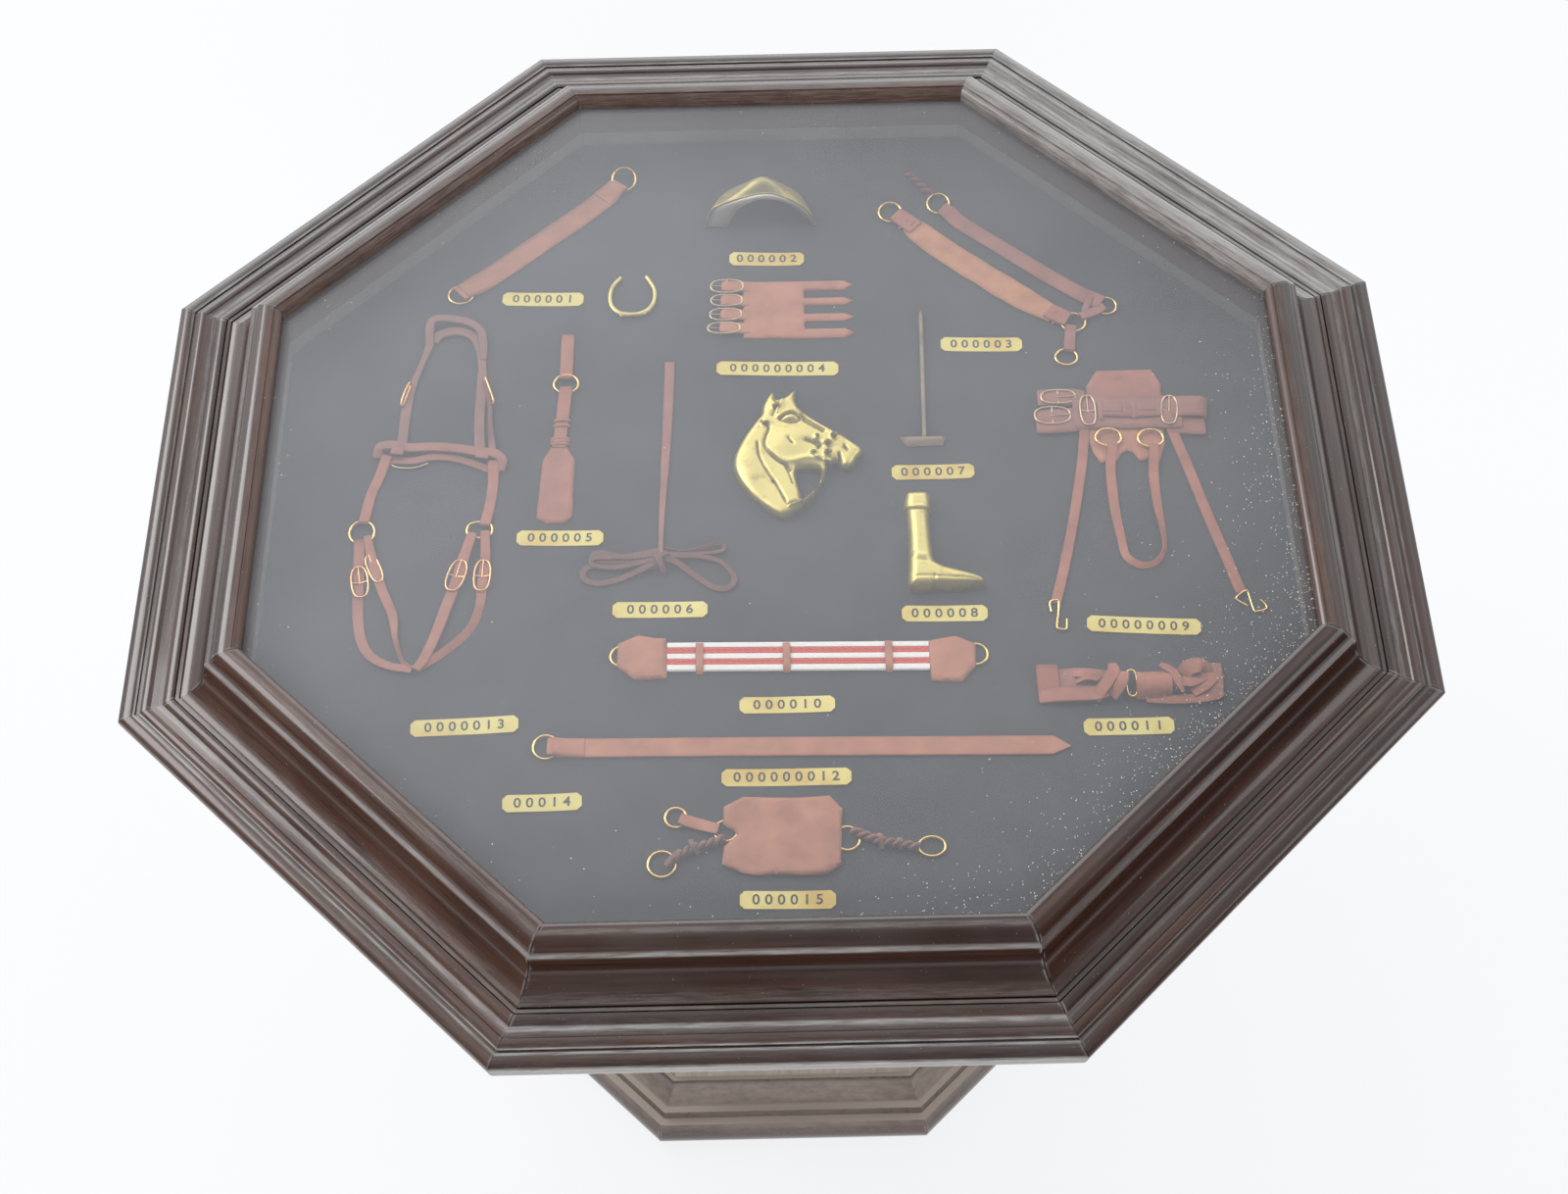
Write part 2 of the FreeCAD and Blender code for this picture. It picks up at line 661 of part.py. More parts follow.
strap_node("lace", "leather_lace", [
    ("lace_width", [(2, 136), (1, 88), (0, 8)]),
    ("lace_loop_width", [(0, 8), (-14, 2), (-38, 4), (-41, -4), (-38, -11), (-18, -9), (-4, -2)]),
    ("lace_loop_width", [(0, 8), (10, 3), (30, 8), (34, 4), (30, 0), (10, 0), (0, 0)]),
    ("lace_loop_width", [(0, 0), (20, -2), (34, -6), (38, -13), (32, -19), (22, -16), (4, -3)]),
    ("lace_width", [(0, 8), (0, -4)]),
])
roller_straps = routed("roller", "surcingle", [
    ("narrow_strap", [(-22.5, -4), (-46, -119)]),
    ("narrow_strap", [(23, -4), (48, -117)]),
    ("narrow_strap", [(-11, -22.5), (-12, -36), (-8, -80), (-6, -94), (2, -101), (9, -94), (12, -78),
                      (11, -23.5)]),
])
belt = doc.addObject("Part::Box", "surcingle_belt")
belt.setExpression("Length", mini("belt_length"))
belt.setExpression("Width", "2 * %s" % mini("broad_strap"))
belt.setExpression("Height", mini("leather_thickness"))
put(belt, *spot("roller", -48.5, -9.5), FELT_TOP)
roller_pad = plate("roller", "surcingle_pad", ROLLER_PAD, mini("leather_thickness"))
roller_tail = plate("roller", "surcingle_tail", ROLLER_TAIL, mini("leather_thickness"))
fused("surcingle", roller_straps + [belt, roller_pad, roller_tail])

keep("guard_plate", plate("guard", "guard_plate", GUARD_OUTLINE, mini("leather_thickness")))
FLAP_TAB = [(-4, 36), (4, 36), (4, 68), (-4, 68)]
group("riding_flap", [plate("flap", "flap_blade", FLAP_OUTLINE, mini("leather_thickness")),
                      plate("flap", "flap_tab", FLAP_TAB, mini("leather_thickness"))])
pad_ties = routed("pad", "leather_pad", [
    ("narrow_strap", [(-47.4, 10), (-41.6, 8)]),
    ("lace_width", [(-51.5, -13.5), (-27, -9)]),
    ("lace_width", [(40.8, -2.8), (64.2, -5.9)]),
])
fused("leather_pad", pad_ties + [plate("pad", "leather_pad_square", PAD_OUTLINE, mini("leather_thickness"))])
hobble = plate("hobble", "hobble", HOBBLE_OUTLINE, mini("hobble_height"))
keep("hobble", soften(hobble, mini("hobble_rounding")))
head = plate("horse", "brass_horse_head", HORSE_OUTLINE, mini("head_height"), HORSE_REIN_GAP)
keep("brass_horse_head", soften(head, mini("head_rounding")))
boot = plate("boot", "brass_boot", BOOT_OUTLINE, mini("boot_height"))
keep("brass_boot", soften(boot, mini("boot_rounding")))

shoe = doc.addObject("Part::Torus", "brass_horseshoe")
shoe.setExpression("Radius1", "%s / 2" % mini("shoe_diameter"))
shoe.setExpression("Radius2", "%s / 2" % mini("shoe_bar_diameter"))
shoe.setExpression("Angle3", mini("shoe_sweep"))
SHOE_TURN = 90 + (360 - number(mini("shoe_sweep"))) / 2
put(shoe, *spot("shoe", 0, 0), "%s + %s / 2" % (FELT_TOP, mini("shoe_bar_diameter")),
    FreeCAD.Rotation(FreeCAD.Vector(0, 0, 1), SHOE_TURN))
keep("brass_horseshoe", shoe)


def half_dome(name):
    """Thin cap with a flattened crown, open on the side towards the front."""
    body = doc.addObject("PartDesign::Body", name)
    section = new_sketch(body, "XZ_Plane")
    outer = "(%s / 2)" % mini("cap_length")
    inner = "(%s - %s)" % (outer, mini("cap_wall"))
    under_crown = "(%s - %s)" % (mini("cap_height"), mini("cap_wall"))
    flat = mini("cap_flat")
    draw(section, [(inner, "0", None), (outer, "0", ("out", mini("cap_crown"))),
                   (flat, mini("cap_height"), None), ("0", mini("cap_height"), None),
                   ("0", under_crown, None), (flat, under_crown, ("in", mini("cap_crown")))])
    turned = body.newObject("PartDesign::Revolution", name + "Turned")
    turned.Profile = section
    turned.ReferenceAxis = (section, ["V_Axis"])
    turned.Angle = 180
    return put(body, *spot("cap", 0, 0), FELT_TOP)


keep("brass_cap", half_dome("brass_cap"))

shaft = cylinder("mallet_shaft", mini("mallet_shaft_diameter"), mini("mallet_length"))
bar = cylinder("mallet_bar", mini("mallet_head_diameter"), mini("mallet_head_length"))
SHAFT_UP = "%s + %s / 2" % (FELT_TOP, mini("mallet_head_diameter"))
put(shaft, *spot("mallet", 0, 1), SHAFT_UP, FreeCAD.Rotation(FreeCAD.Vector(1, 0, 0), -90))
BAR_X, BAR_Y = spot("mallet", 0, 0)
put(bar, "%s - %s / 2" % (BAR_X, mini("mallet_head_length")), BAR_Y, SHAFT_UP,
    FreeCAD.Rotation(FreeCAD.Vector(0, 1, 0), 90))
fused("mallet", [shaft, bar])

band = doc.addObject("Part::Box", "web_girth_band")
band.setExpression("Length", mini("web_length"))
band.setExpression("Width", mini("web_width"))
band.setExpression("Height", mini("web_thickness"))
BAND_X, BAND_Y = spot("web", 0, 0)
BAND_SIDE = "%s - %s / 2" % (BAND_Y, mini("web_width"))
put(band, "%s - %s / 2" % (BAND_X, mini("web_length")), BAND_SIDE, FELT_TOP)
keep("web_girth_band", band)


WEB_END = 25


def web_end(name, hand):
    """Leather pentagon that closes one end of the webbing."""
    points = [(0, 14), (0, -14), (16, -14), (WEB_END, -7), (WEB_END, 7), (15, 15)]
    if hand < 0:
        points = [(-east, north) for east, north in reversed(points)]
    body = plate("web", name, points, mini("web_thickness"))
    body.setExpression("Placement.Base.x", "%s + %d * (%s / 2 + %s)" % (BAND_X, hand, mini("web_length"),
                                                                      mini("fit_clearance")))
    return body


keepers = []
for index, east in enumerate((-50, -6, 47)):
    keeper = doc.addObject("Part::Box", "web_keeper_%d" % index)
    keeper.setExpression("Length", mini("keeper_width"))
    keeper.setExpression("Width", mini("web_width"))
    keeper.setExpression("Height", mini("keeper_thickness"))
    x, y = spot("web", east, 0)
    over_band = "%s + %s" % (FELT_TOP, mini("web_thickness"))
    keepers.append(put(keeper, "%s - %s / 2" % (x, mini("keeper_width")), BAND_SIDE, over_band))
group("web_girth_leathers", [web_end("web_end_left", -1), web_end("web_end_right", 1)] + keepers)

# Wire fittings: round rings flat on the felt, oval buckles on the leather, hooks on the roller
RINGS = [
    ("girth", 45, 46, "ring_diameter"),
    ("girth", -45, -39, "ring_diameter"),
    ("breast", -60, 41, "ring_diameter"),
    ("breast", -32, 47, "ring_diameter"),
    ("breast", 57, -34, "ring_diameter"),
    ("breast", 37.5, -46, "ring_diameter"),
    ("breast", 33, -71, "ring_diameter"),
    ("headstall", -34, -25, "large_ring_diameter"),
    ("headstall", 28, -28, "large_ring_diameter"),
    ("flap", 0, 30, "small_ring_diameter"),
    ("roller", -11, -14, "large_ring_diameter"),
    ("roller", 11.5, -15, "large_ring_diameter"),
    ("hobble", 0, 0, "small_ring_diameter"),
    ("over", -132, 4, "ring_diameter"),
    ("pad", -53, 12, "small_ring_diameter"),
    ("pad", -59, -15, "large_ring_diameter"),
    ("pad", -36, 6, "small_ring_diameter"),
    ("pad", 35, -2, "small_ring_diameter"),
    ("pad", 72, -7, "large_ring_diameter"),
]
fittings = []
for index, (item, east, north, diameter) in enumerate(RINGS):
    ring = doc.addObject("Part::Torus", "wire_ring_%d" % index)
    ring.setExpression("Radius1", "%s / 2" % mini(diameter))
    ring.setExpression("Radius2", "%s / 2" % mini("wire_diameter"))
    rest = FELT_TOP
    if item == "roller":
        rest = LEATHER_TOP
    if item == "hobble":
        rest = "(%s + %s)" % (FELT_TOP, mini("hobble_height"))
    fittings.append(put(ring, *spot(item, east, north), "%s + %s" % (rest, WIRE_LIFT)))

for hand in (-1, 1):
    ring = doc.addObject("Part::Torus", "web_ring_left" if hand < 0 else "web_ring_right")
    ring.setExpression("Radius1", "%s / 2" % mini("ring_diameter"))
    ring.setExpression("Radius2", "%s / 2" % mini("wire_diameter"))
    reach = "(%s + %s + %s + %s) / 2" % (mini("web_length"), drawn(2 * WEB_END + 2), mini("ring_diameter"),
                                         mini("wire_diameter"))
    fittings.append(put(ring, "%s + %d * %s" % (BAND_X, hand, reach), BAND_Y, WIRE_LEVEL))

# Open hooks at the ends of the roller's straps: place and turn of the opening
HOOKS = [(-47.5, -127.5, 120), (53.5, -124.5, 30)]
for index, (east, north, turn) in enumerate(HOOKS):
    hook = doc.addObject("Part::Torus", "wire_hook_%d" % index)
    hook.setExpression("Radius1", "%s / 2" % mini("ring_diameter"))
    hook.setExpression("Radius2", "%s / 2" % mini("wire_diameter"))
    hook.setExpression("Angle3", mini("hook_sweep"))
    facing = FreeCAD.Rotation(FreeCAD.Vector(0, 0, 1), turn)
    fittings.append(put(hook, *spot("roller", east, north), WIRE_LEVEL, facing))

BUCKLES = [
    ("guard", -26, 14.5, 0),
    ("guard", -26, 4.5, 0),
    ("guard", -26.5, -5.5, 0),
    ("guard", -27, -15.5, 0),
    ("headstall", -32.5, -60, 92),
    ("headstall", -22, -46, 112),
    ("headstall", 18, -55, 72),
    ("headstall", 30.5, -56, 86),
    ("headstall", -18, 68, 76),
    ("headstall", 27, 66, 100),
    ("roller", -37, 9, 0),
    ("roller", -39, -3, 0),
    ("roller", -21, 4, 90),
    ("roller", 22, 3, 90),
]


def buckle(name, item, east, north, turn):
    """A loop of wire bent to a long oval."""
    body = doc.addObject("PartDesign::Body", name)
    path = new_sketch(body, "XY_Plane")
    half = "(%s / 2)" % mini("buckle_width")
    long = "(%s / 2)" % mini("buckle_length")
    bend = mini("buckle_bend")
    inner = "(%s - %s)" % (half, bend)
    reach = "(%s - %s)" % (long, bend)
    turned = ("out", "(%s * (1 - cos(45 deg)))" % bend)
    draw(path, [("-" + reach, "-" + half, None), (reach, "-" + half, turned), (long, "-" + inner, None),
                (long, inner, turned), (reach, half, None), ("-" + reach, half, turned),
                ("-" + long, inner, None), ("-" + long, "-" + inner, turned)])
    section = new_sketch(body, "YZ_Plane")
    radius = "(%s / 2)" % mini("wire_diameter")
    centre = FreeCAD.Vector(-number(half), 0, 0)
    wire = section.addGeometry(Part.Circle(centre, FreeCAD.Vector(0, 0, 1), number(radius)))
    section.addConstraint(Sketcher.Constraint("PointOnObject", wire, 3, -1))
    bind_lengths(section, [(("DistanceX", -1, 1, wire, 3), "-" + half), (("Radius", wire), radius)])
    loop = body.newObject("PartDesign::AdditivePipe", name + "Loop")
    loop.Profile = section
    loop.Spine = path
    return put(body, *spot(item, east, north), "%s + %s" % (LEATHER_TOP, WIRE_LIFT),
               FreeCAD.Rotation(FreeCAD.Vector(0, 0, 1), turn))


for index, (item, east, north, turn) in enumerate(BUCKLES):
    fittings.append(buckle("wire_buckle_%d" % index, item, east, north, turn))
group("wire_fittings", fittings)

# Paper labels, one by each miniature, with clipped corners
LABELS = [
    ("girth", 1.5, -43, 46),
    ("cap", 3, -20.5, 42),
    ("breast", -13.5, -59, 46),
    ("guard", 1.5, -42.5, 67),
    ("flap", 1.5, -71.5, 46),
    ("lace", -1.5, -30, 49),
    ("mallet", 3.5, -20, 44),
    ("boot", 5, -45.5, 44),
    ("roller", -4, -135, 59),
    ("web", -6, -28, 48),
    ("hobble", -3, -24.5, 45),
    ("over", -13, -16.5, 64),
    ("headstall", 26.5, -147.5, 54),
    ("over", -133, -28, 39),
    ("pad", 1.5, -35, 46),
]


def label(name, item, east, north, length):
    body = doc.addObject("PartDesign::Body", name)
    outline = new_sketch(body, "XY_Plane")
    half = drawn(length / 2)
    tall = "(%s / 2)" % mini("label_height")
    clip = mini("label_clip")
    near = "(%s - %s)" % (half, clip)
    low = "(%s - %s)" % (tall, clip)
    draw(outline, [("-" + near, "-" + tall, None), (near, "-" + tall, None), (half, "-" + low, None),
                   (half, low, None), (near, tall, None), ("-" + near, tall, None), ("-" + half, low, None),
                   ("-" + half, "-" + low, None)])
    paper = body.newObject("PartDesign::Pad", name + "Paper")
    paper.Profile = outline
    paper.setExpression("Length", mini("label_thickness"))
    return put(body, *spot(item, east, north), FELT_TOP)


group("labels", [label("label_%d" % index, *wanted) for index, wanted in enumerate(LABELS)])

# Check the document, then write one file for each sub-part
doc.recompute()
faulty = [made.Name for made in doc.Objects if "Invalid" in made.State or "Error" in made.State]
if faulty:
    raise SystemExit("failed objects: " + ", ".join(faulty))
os.makedirs("parts", exist_ok=True)
for node, made in nodes.items():
    if made.Shape.isNull() or not made.Shape.isValid() or not made.Shape.Solids:
        raise SystemExit("bad shape: " + node)
for node, made in nodes.items():
    made.Shape.exportStep(os.path.join("parts", node + ".step"))
print("%d sub-parts written" % len(nodes))
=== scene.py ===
import math
from functools import partial

import bpy
import numpy as np
from mathutils import Matrix, Vector, geometry, noise


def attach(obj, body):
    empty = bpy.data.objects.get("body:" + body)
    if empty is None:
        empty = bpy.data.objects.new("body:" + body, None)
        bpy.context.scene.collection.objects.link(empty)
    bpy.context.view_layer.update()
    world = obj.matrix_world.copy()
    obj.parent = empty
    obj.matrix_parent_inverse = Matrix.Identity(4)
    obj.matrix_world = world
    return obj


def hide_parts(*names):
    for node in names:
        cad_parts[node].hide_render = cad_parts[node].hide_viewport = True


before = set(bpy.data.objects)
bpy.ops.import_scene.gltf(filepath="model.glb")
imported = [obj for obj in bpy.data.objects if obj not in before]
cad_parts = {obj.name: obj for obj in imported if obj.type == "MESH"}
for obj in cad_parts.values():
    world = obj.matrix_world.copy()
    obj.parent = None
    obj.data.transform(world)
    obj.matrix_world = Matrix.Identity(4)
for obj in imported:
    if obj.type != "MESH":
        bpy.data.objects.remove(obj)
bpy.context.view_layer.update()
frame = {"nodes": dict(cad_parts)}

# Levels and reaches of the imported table, in metres
FELT_TOP = 0.3833
FELT_UNDER = 0.3818
HALF = 0.330
MM = 0.001


class Nodes:
    """Short calls for the nodes of one tree."""

    def __init__(self, tree):
        self.tree = tree

    def put(self, socket, value):
        if isinstance(value, bpy.types.NodeSocket):
            self.tree.links.new(value, socket)
        else:
            socket.default_value = value

    def node(self, kind, sockets=None, **settings):
        made = self.tree.nodes.new("ShaderNode" + kind)
        for key, value in settings.items():
            setattr(made, key, value)
        for key, value in (sockets or {}).items():
            self.put(made.inputs[key], value)
        return made

    def calc(self, operation, a, b=0.0, c=0.0):
        return self.node("Math", {0: a, 1: b, 2: c}, operation=operation).outputs[0]

    def times(self, a, b):
        return self.calc("MULTIPLY", a, b)

    def plus(self, a, b):
        return self.calc("ADD", a, b)

    def minus(self, a, b):
        return self.calc("SUBTRACT", a, b)

    def most(self, a, b):
        return self.calc("MAXIMUM", a, b)

    def size(self, a):
        return self.calc("ABSOLUTE", a)

    def split(self, vector):
        return self.node("SeparateXYZ", {0: vector}).outputs


class Paint(Nodes):
    """One material, with short calls for what colours it."""

    def __init__(self, name):
        self.material = bpy.data.materials.new(name)
        self.material.use_nodes = True
        super().__init__(self.material.node_tree)
        self.shader = self.tree.nodes["Principled BSDF"]

    def set(self, **sockets):
        """Shader inputs by name, with underscores for blanks."""
        for key, value in sockets.items():
            self.put(self.shader.inputs[key.replace("_", " ")], value)

    def show(self, surface):
        self.put(self.tree.nodes["Material Output"].inputs["Surface"], surface)

    def place(self, scale=(1, 1, 1), turn=0.0):
        """Object coordinates, turned about the upright axis and then stretched."""
        coords = self.node("TexCoord").outputs["Object"]
        turned = self.node("Mapping", {"Vector": coords, "Rotation": (0, 0, turn)}).outputs[0]
        return self.node("Mapping", {"Vector": turned, "Scale": scale}).outputs[0]

    def marks(self):
        """What a shape marks its points with: the run along a strap, and the reach across it."""
        return self.split(self.node("UVMap", uv_map="cut").outputs[0])

    def noise(self, vector, scale=1.0, detail=3.0, rough=0.55):
        sockets = {"Vector": vector, "Scale": scale, "Detail": detail, "Roughness": rough}
        return self.node("TexNoise", sockets).outputs["Fac"]

    def ramp(self, factor, *stops):
        """Colour or grey by a factor; a stop is its place and a number or a colour."""
        made = self.node("ValToRGB", {"Fac": factor})
        elements = made.color_ramp.elements
        while len(elements) < len(stops):
            elements.new(0.5)
        for element, (place, value) in zip(elements, stops):
            element.position = place
            element.color = (*value, 1) if isinstance(value, tuple) else (value, value, value, 1)
        return made.outputs["Color"]

    def mix(self, factor, a, b):
        made = self.node("Mix", data_type="RGBA")
        for index, value in ((0, factor), (6, a), (7, b)):
            self.put(made.inputs[index], (*value, 1) if isinstance(value, tuple) else value)
        return made.outputs[2]

    def bump(self, height, distance, strength):
        sockets = {"Height": height, "Distance": distance, "Strength": strength}
        self.set(Normal=self.node("Bump", sockets).outputs[0])


def tone(colour, share):
    """A colour made darker or lighter."""
    return tuple(min(1.0, share * part) for part in colour)


# Wood of the table: grain follows each rail, and dust gathers in the steps of the moulding; the same pale
# colour also paints some highlights and reflections
WOOD_DARK = (0.014, 0.0055, 0.004)
WOOD_MID = (0.029, 0.0112, 0.0075)
WOOD_LIGHT = (0.078, 0.026, 0.0145)
DUST_AND_SHEEN_COLOUR = (0.335, 0.33, 0.32)
PROFILE_SPAN = 0.07
# Share of pale colour at each distance in from the outer arris, in millimetres: dust in the steps, plus a
# painted highlight on the fillet (45.8 to 47.0) and a painted reflection of the floor on the outer face (0
# to 0.5); it drops at the innermost edge to leave a painted dark line where the glass edge lies in shade
RIM_DUST_AND_SHEEN = [
    (0, 0.62), (0.5, 0.52), (1.0, 0.06), (6.4, 0.08), (7.3, 0.62), (8.0, 0.58), (8.5, 0.25), (9.3, 0.25),
    (9.9, 0.68), (10.8, 0.12), (15.0, 0.03), (18.0, 0.2), (19.2, 0.7), (20.6, 0.65),
    (21.4, 0.12), (25.6, 0.05), (27.0, 0.0), (27.8, 0.3), (29.2, 0.25), (29.8, 0.0), (30.4, 0.0),
    (31.6, 0.18), (36.0, 0.1), (38.6, 0.0), (45.1, 0.0), (45.8, 0.66), (47.0, 0.6), (47.7, 0.0),
    (53.4, 0.0), (55.4, 0.22), (57.0, 0.2), (57.8, 0.03),
]

# Share of pale film by height in metres: dust, and painted light thrown up from the floor, so panels are
# paler near the floor; the foot of the base is rubbed
PANEL_DUST_AND_FLOOR_LIGHT = [(0.04, 1.0), (0.1, 0.9), (0.22, 0.25)]
BASE_DUST_AND_FLOOR_LIGHT = [(0.0184, 0.5), (0.0194, 1.0)]
FLOOR_DUST_AND_LIGHT_COLOUR = (0.40, 0.35, 0.31)
# Where the inner lip of the side and back rails takes a warmer wood colour, in millimetres from the outer
# arris
LIP_WARMTH = [(54.0, 0.0), (55.5, 0.3), (57.3, 0.2), (57.9, 0.8), (58.6, 0.6)]
# Warmer wood colour: used for the inner lip, and as a painted sheen on the sides given a warm share
WOOD_WARM = (0.15, 0.058, 0.03)
JOINT_LINE = (0.004, 0.002, 0.002)
MITRE = math.tan(math.pi / 8)


def grain_scale(fine, long, upright):
    """Noise stretched along a rail, or up a panel."""
    return (fine, fine, long) if upright else (fine, long, fine)


def wood_colour(paint, turn, upright, cloud, warm_sheen):
    """Mahogany with figure and open pores: its colour, and the height of its grain."""
    figure = paint.noise(paint.place(grain_scale(70, 3, upright), turn), 1.0, 5.0, 0.6)
    pores = paint.noise(paint.place(grain_scale(900, 28, upright), turn), 1.0, 2.0, 0.5)
    colour = paint.ramp(figure, (0.25, WOOD_DARK), (0.52, WOOD_MID), (0.8, WOOD_LIGHT))
    # Warm reddish patches by share: a painted sheen of lit wood on the sides that take it
    colour = paint.mix(paint.ramp(cloud, (0.3, 0.3 * warm_sheen), (0.65, warm_sheen)), colour, WOOD_WARM)
    colour = paint.mix(paint.ramp(pores, (0.36, 0.7), (0.46, 0.0)), colour, WOOD_DARK)
    return colour, paint.plus(paint.times(pores, 0.6), paint.times(figure, 0.4))


def dust_patches(paint, smear, cloud, level, facing, upright, profile):
    """How evenly the pale colour lies, dust and painted light alike: broken along a moulding, by height on
    a panel, on the ledges of the base.
    """
    broken = paint.ramp(smear, (0.3, 0.3 if profile else 0.65), (0.62, 1.0))
    patchy = paint.times(broken, paint.ramp(cloud, (0.25, 0.45), (0.6, 1.0)))
    if profile:
        return patchy
    patchy = paint.times(patchy, paint.ramp(level, *(PANEL_DUST_AND_FLOOR_LIGHT if upright else BASE_DUST_AND_FLOOR_LIGHT)))
    if upright:
        return patchy
    patchy = paint.times(patchy, paint.ramp(facing, (0.1, 0.2), (0.3, 0.38), (0.9, 0.62)))
    return paint.most(patchy, paint.ramp(facing, (0.95, 0.0), (0.99, 1.0)))


def mitre_marks(paint, turn, x, y, amount, colour):
    """A dark joint line at each mitre, with pale specks beside it: dust, and a painted highlight on the
    joint's edges.
    """
    gap = paint.minus(paint.times(x, MITRE), paint.size(y))
    # Pale specks along the joint: dust and painted highlight
    worn = paint.ramp(paint.times(gap, 100.0), (0.03, 0.0), (0.06, 0.4), (0.2, 0.0))
    speck = paint.ramp(paint.noise(paint.place(turn=turn), 160.0), (0.42, 0.0), (0.6, 1.0))
    line = paint.ramp(paint.times(gap, 1000.0), (0.25, 0.9), (0.5, 0.0))
    return paint.most(amount, paint.times(worn, speck)), paint.mix(line, colour, JOINT_LINE)


def by_inset(stops, share):
    """Stops at millimetres from the outer arris, as shares of the profile."""
    return [(inset * MM / PROFILE_SPAN, share * value) for inset, value in stops]


def mahogany(name, turn, upright=False, profile=None, film_and_sheen=0.0, dust_sheen_share=1.0, dust_and_sheen=DUST_AND_SHEEN_COLOUR, lip=0.0, warm_sheen=0.0):
    """Polished wood turned to one side of the table, with the dust that lies on it and the painted light
    given to that side.
    """
    paint = Paint(name)
    x, y, z = paint.split(paint.place(turn=turn))
    facing = paint.split(paint.node("NewGeometry").outputs["Normal"])[2]
    upward = paint.ramp(facing, (0.3, 0.0), (0.95, 1.0))
    cloud = paint.noise(paint.place(turn=turn), 9.0)
    colour, height = wood_colour(paint, turn, upright, cloud, warm_sheen)
    across, along = (420, 30) if upright else (900, 60) if profile else (300, 120)
    smear = paint.noise(paint.place(grain_scale(across, along, upright), turn), 1.0, 4.0, 0.65)
    patchy = dust_patches(paint, smear, cloud, z, facing, upright, profile)
    amount = paint.times(paint.ramp(cloud, (0.35, 0.0), (0.7, 0.07 * dust_sheen_share)), upward)
    amount = paint.most(amount, paint.times(patchy, film_and_sheen))
    if profile:
        # Pale lines across the profile: dust, a painted highlight on the fillet and a painted floor
        # reflection on the outer face
        inset = paint.calc("DIVIDE", paint.minus(HALF, x), PROFILE_SPAN)
        lines = paint.ramp(inset, *by_inset(profile, dust_sheen_share))
        amount = paint.most(amount, paint.times(lines, patchy))
        lip_warmth = paint.ramp(inset, *by_inset(LIP_WARMTH, lip))
        colour = paint.mix(paint.times(lip_warmth, patchy), colour, WOOD_WARM)
    if not upright:
        amount, colour = mitre_marks(paint, turn, x, y, amount, colour)
    grains = paint.ramp(paint.noise(paint.place(turn=turn), 700.0, 1.0), (0.76, 0.0), (0.8, 0.5))
    amount = paint.most(amount, paint.times(grains, upward))
    rough = paint.plus(paint.ramp(smear, (0.3, 0.17), (0.7, 0.25)), paint.times(amount, 0.5))
    # The pale colour stands for dust, and also for the painted highlights, reflections and lit sides set by
    # the profile and the side's shares
    paint.set(Base_Color=paint.mix(amount, colour, dust_and_sheen), Roughness=rough)
    paint.set(Specular_IOR_Level=0.4, Coat_Weight=0.35, Coat_Roughness=0.06)
    paint.bump(height, 0.00012, 0.2)
    return paint.material


# Colours of the smaller finishes
LINT = (0.2, 0.2, 0.21)
TARNISH = (0.16, 0.10, 0.04)
PAPER_BROWN = (0.55, 0.37, 0.07)
PAPER_YELLOW = (0.64, 0.53, 0.15)
PAPER_PALE = (0.69, 0.60, 0.21)
PAPER_SPOT = (0.50, 0.33, 0.08)
PAPER_EDGE = (0.45, 0.30, 0.07)
INK_BLACK = (0.012, 0.011, 0.009)
INK_FADED = (0.07, 0.05, 0.03)


def bare_timber(name, colour):
    """Unpolished wood of the hidden pieces."""
    paint = Paint(name)
    grain = paint.noise(paint.place((8, 160, 160)), 1.0, 5.0, 0.65)
    paint.set(Base_Color=paint.ramp(grain, (0.3, tone(colour, 0.55)), (0.7, colour)), Roughness=0.75)
    paint.bump(grain, 0.0002, 0.5)
    return paint.material


def felt_cloth(name, colour):
    """Dull cloth with a soft nap and a little lint."""
    paint = Paint(name)
    nap = paint.ramp(paint.noise(paint.place(), 40.0, 4.0), (0.3, 0.0), (0.7, 1.0))
    shade = paint.mix(nap, tone(colour, 0.85), tone(colour, 1.15))
    lint = paint.ramp(paint.noise(paint.place(), 700.0, 1.0), (0.78, 0.0), (0.83, 0.35))
    paint.set(Base_Color=paint.mix(lint, shade, LINT), Roughness=0.95, Sheen_Weight=0.1)
    return paint.material


def leather(name, colour, grain=1.0, shine=0.55):
    """Dyed hide, darker at its cut edges."""
    paint = Paint(name)
    edge = paint.ramp(paint.size(paint.marks()[1]), (0.34, 0.0), (0.45, 0.55), (0.5, 1.0))
    blotch = paint.noise(paint.place(), 70.0, 4.0, 0.6)
    hide = paint.node("TexVoronoi", {"Vector": paint.place(), "Scale": 900.0}).outputs["Distance"]
    high = tone(colour, 1.18)
    shade = paint.ramp(blotch, (0.28, tone(colour, 0.8)), (0.5, colour), (0.72, high))
    shade = paint.mix(paint.times(edge, 0.5), shade, tone(colour, 0.4))
    scuff = paint.ramp(paint.noise(paint.place(turn=0.6), 420.0, 4.0), (0.62, 0.0), (0.72, 0.25))
    paint.set(Base_Color=paint.mix(scuff, shade, high), Specular_IOR_Level=0.35)
    paint.set(Roughness=paint.ramp(blotch, (0.3, shine + 0.12), (0.7, shine)))
    paint.bump(paint.plus(hide, paint.times(blotch, 1.5)), 0.0001 * grain, 0.5)
    return paint.material


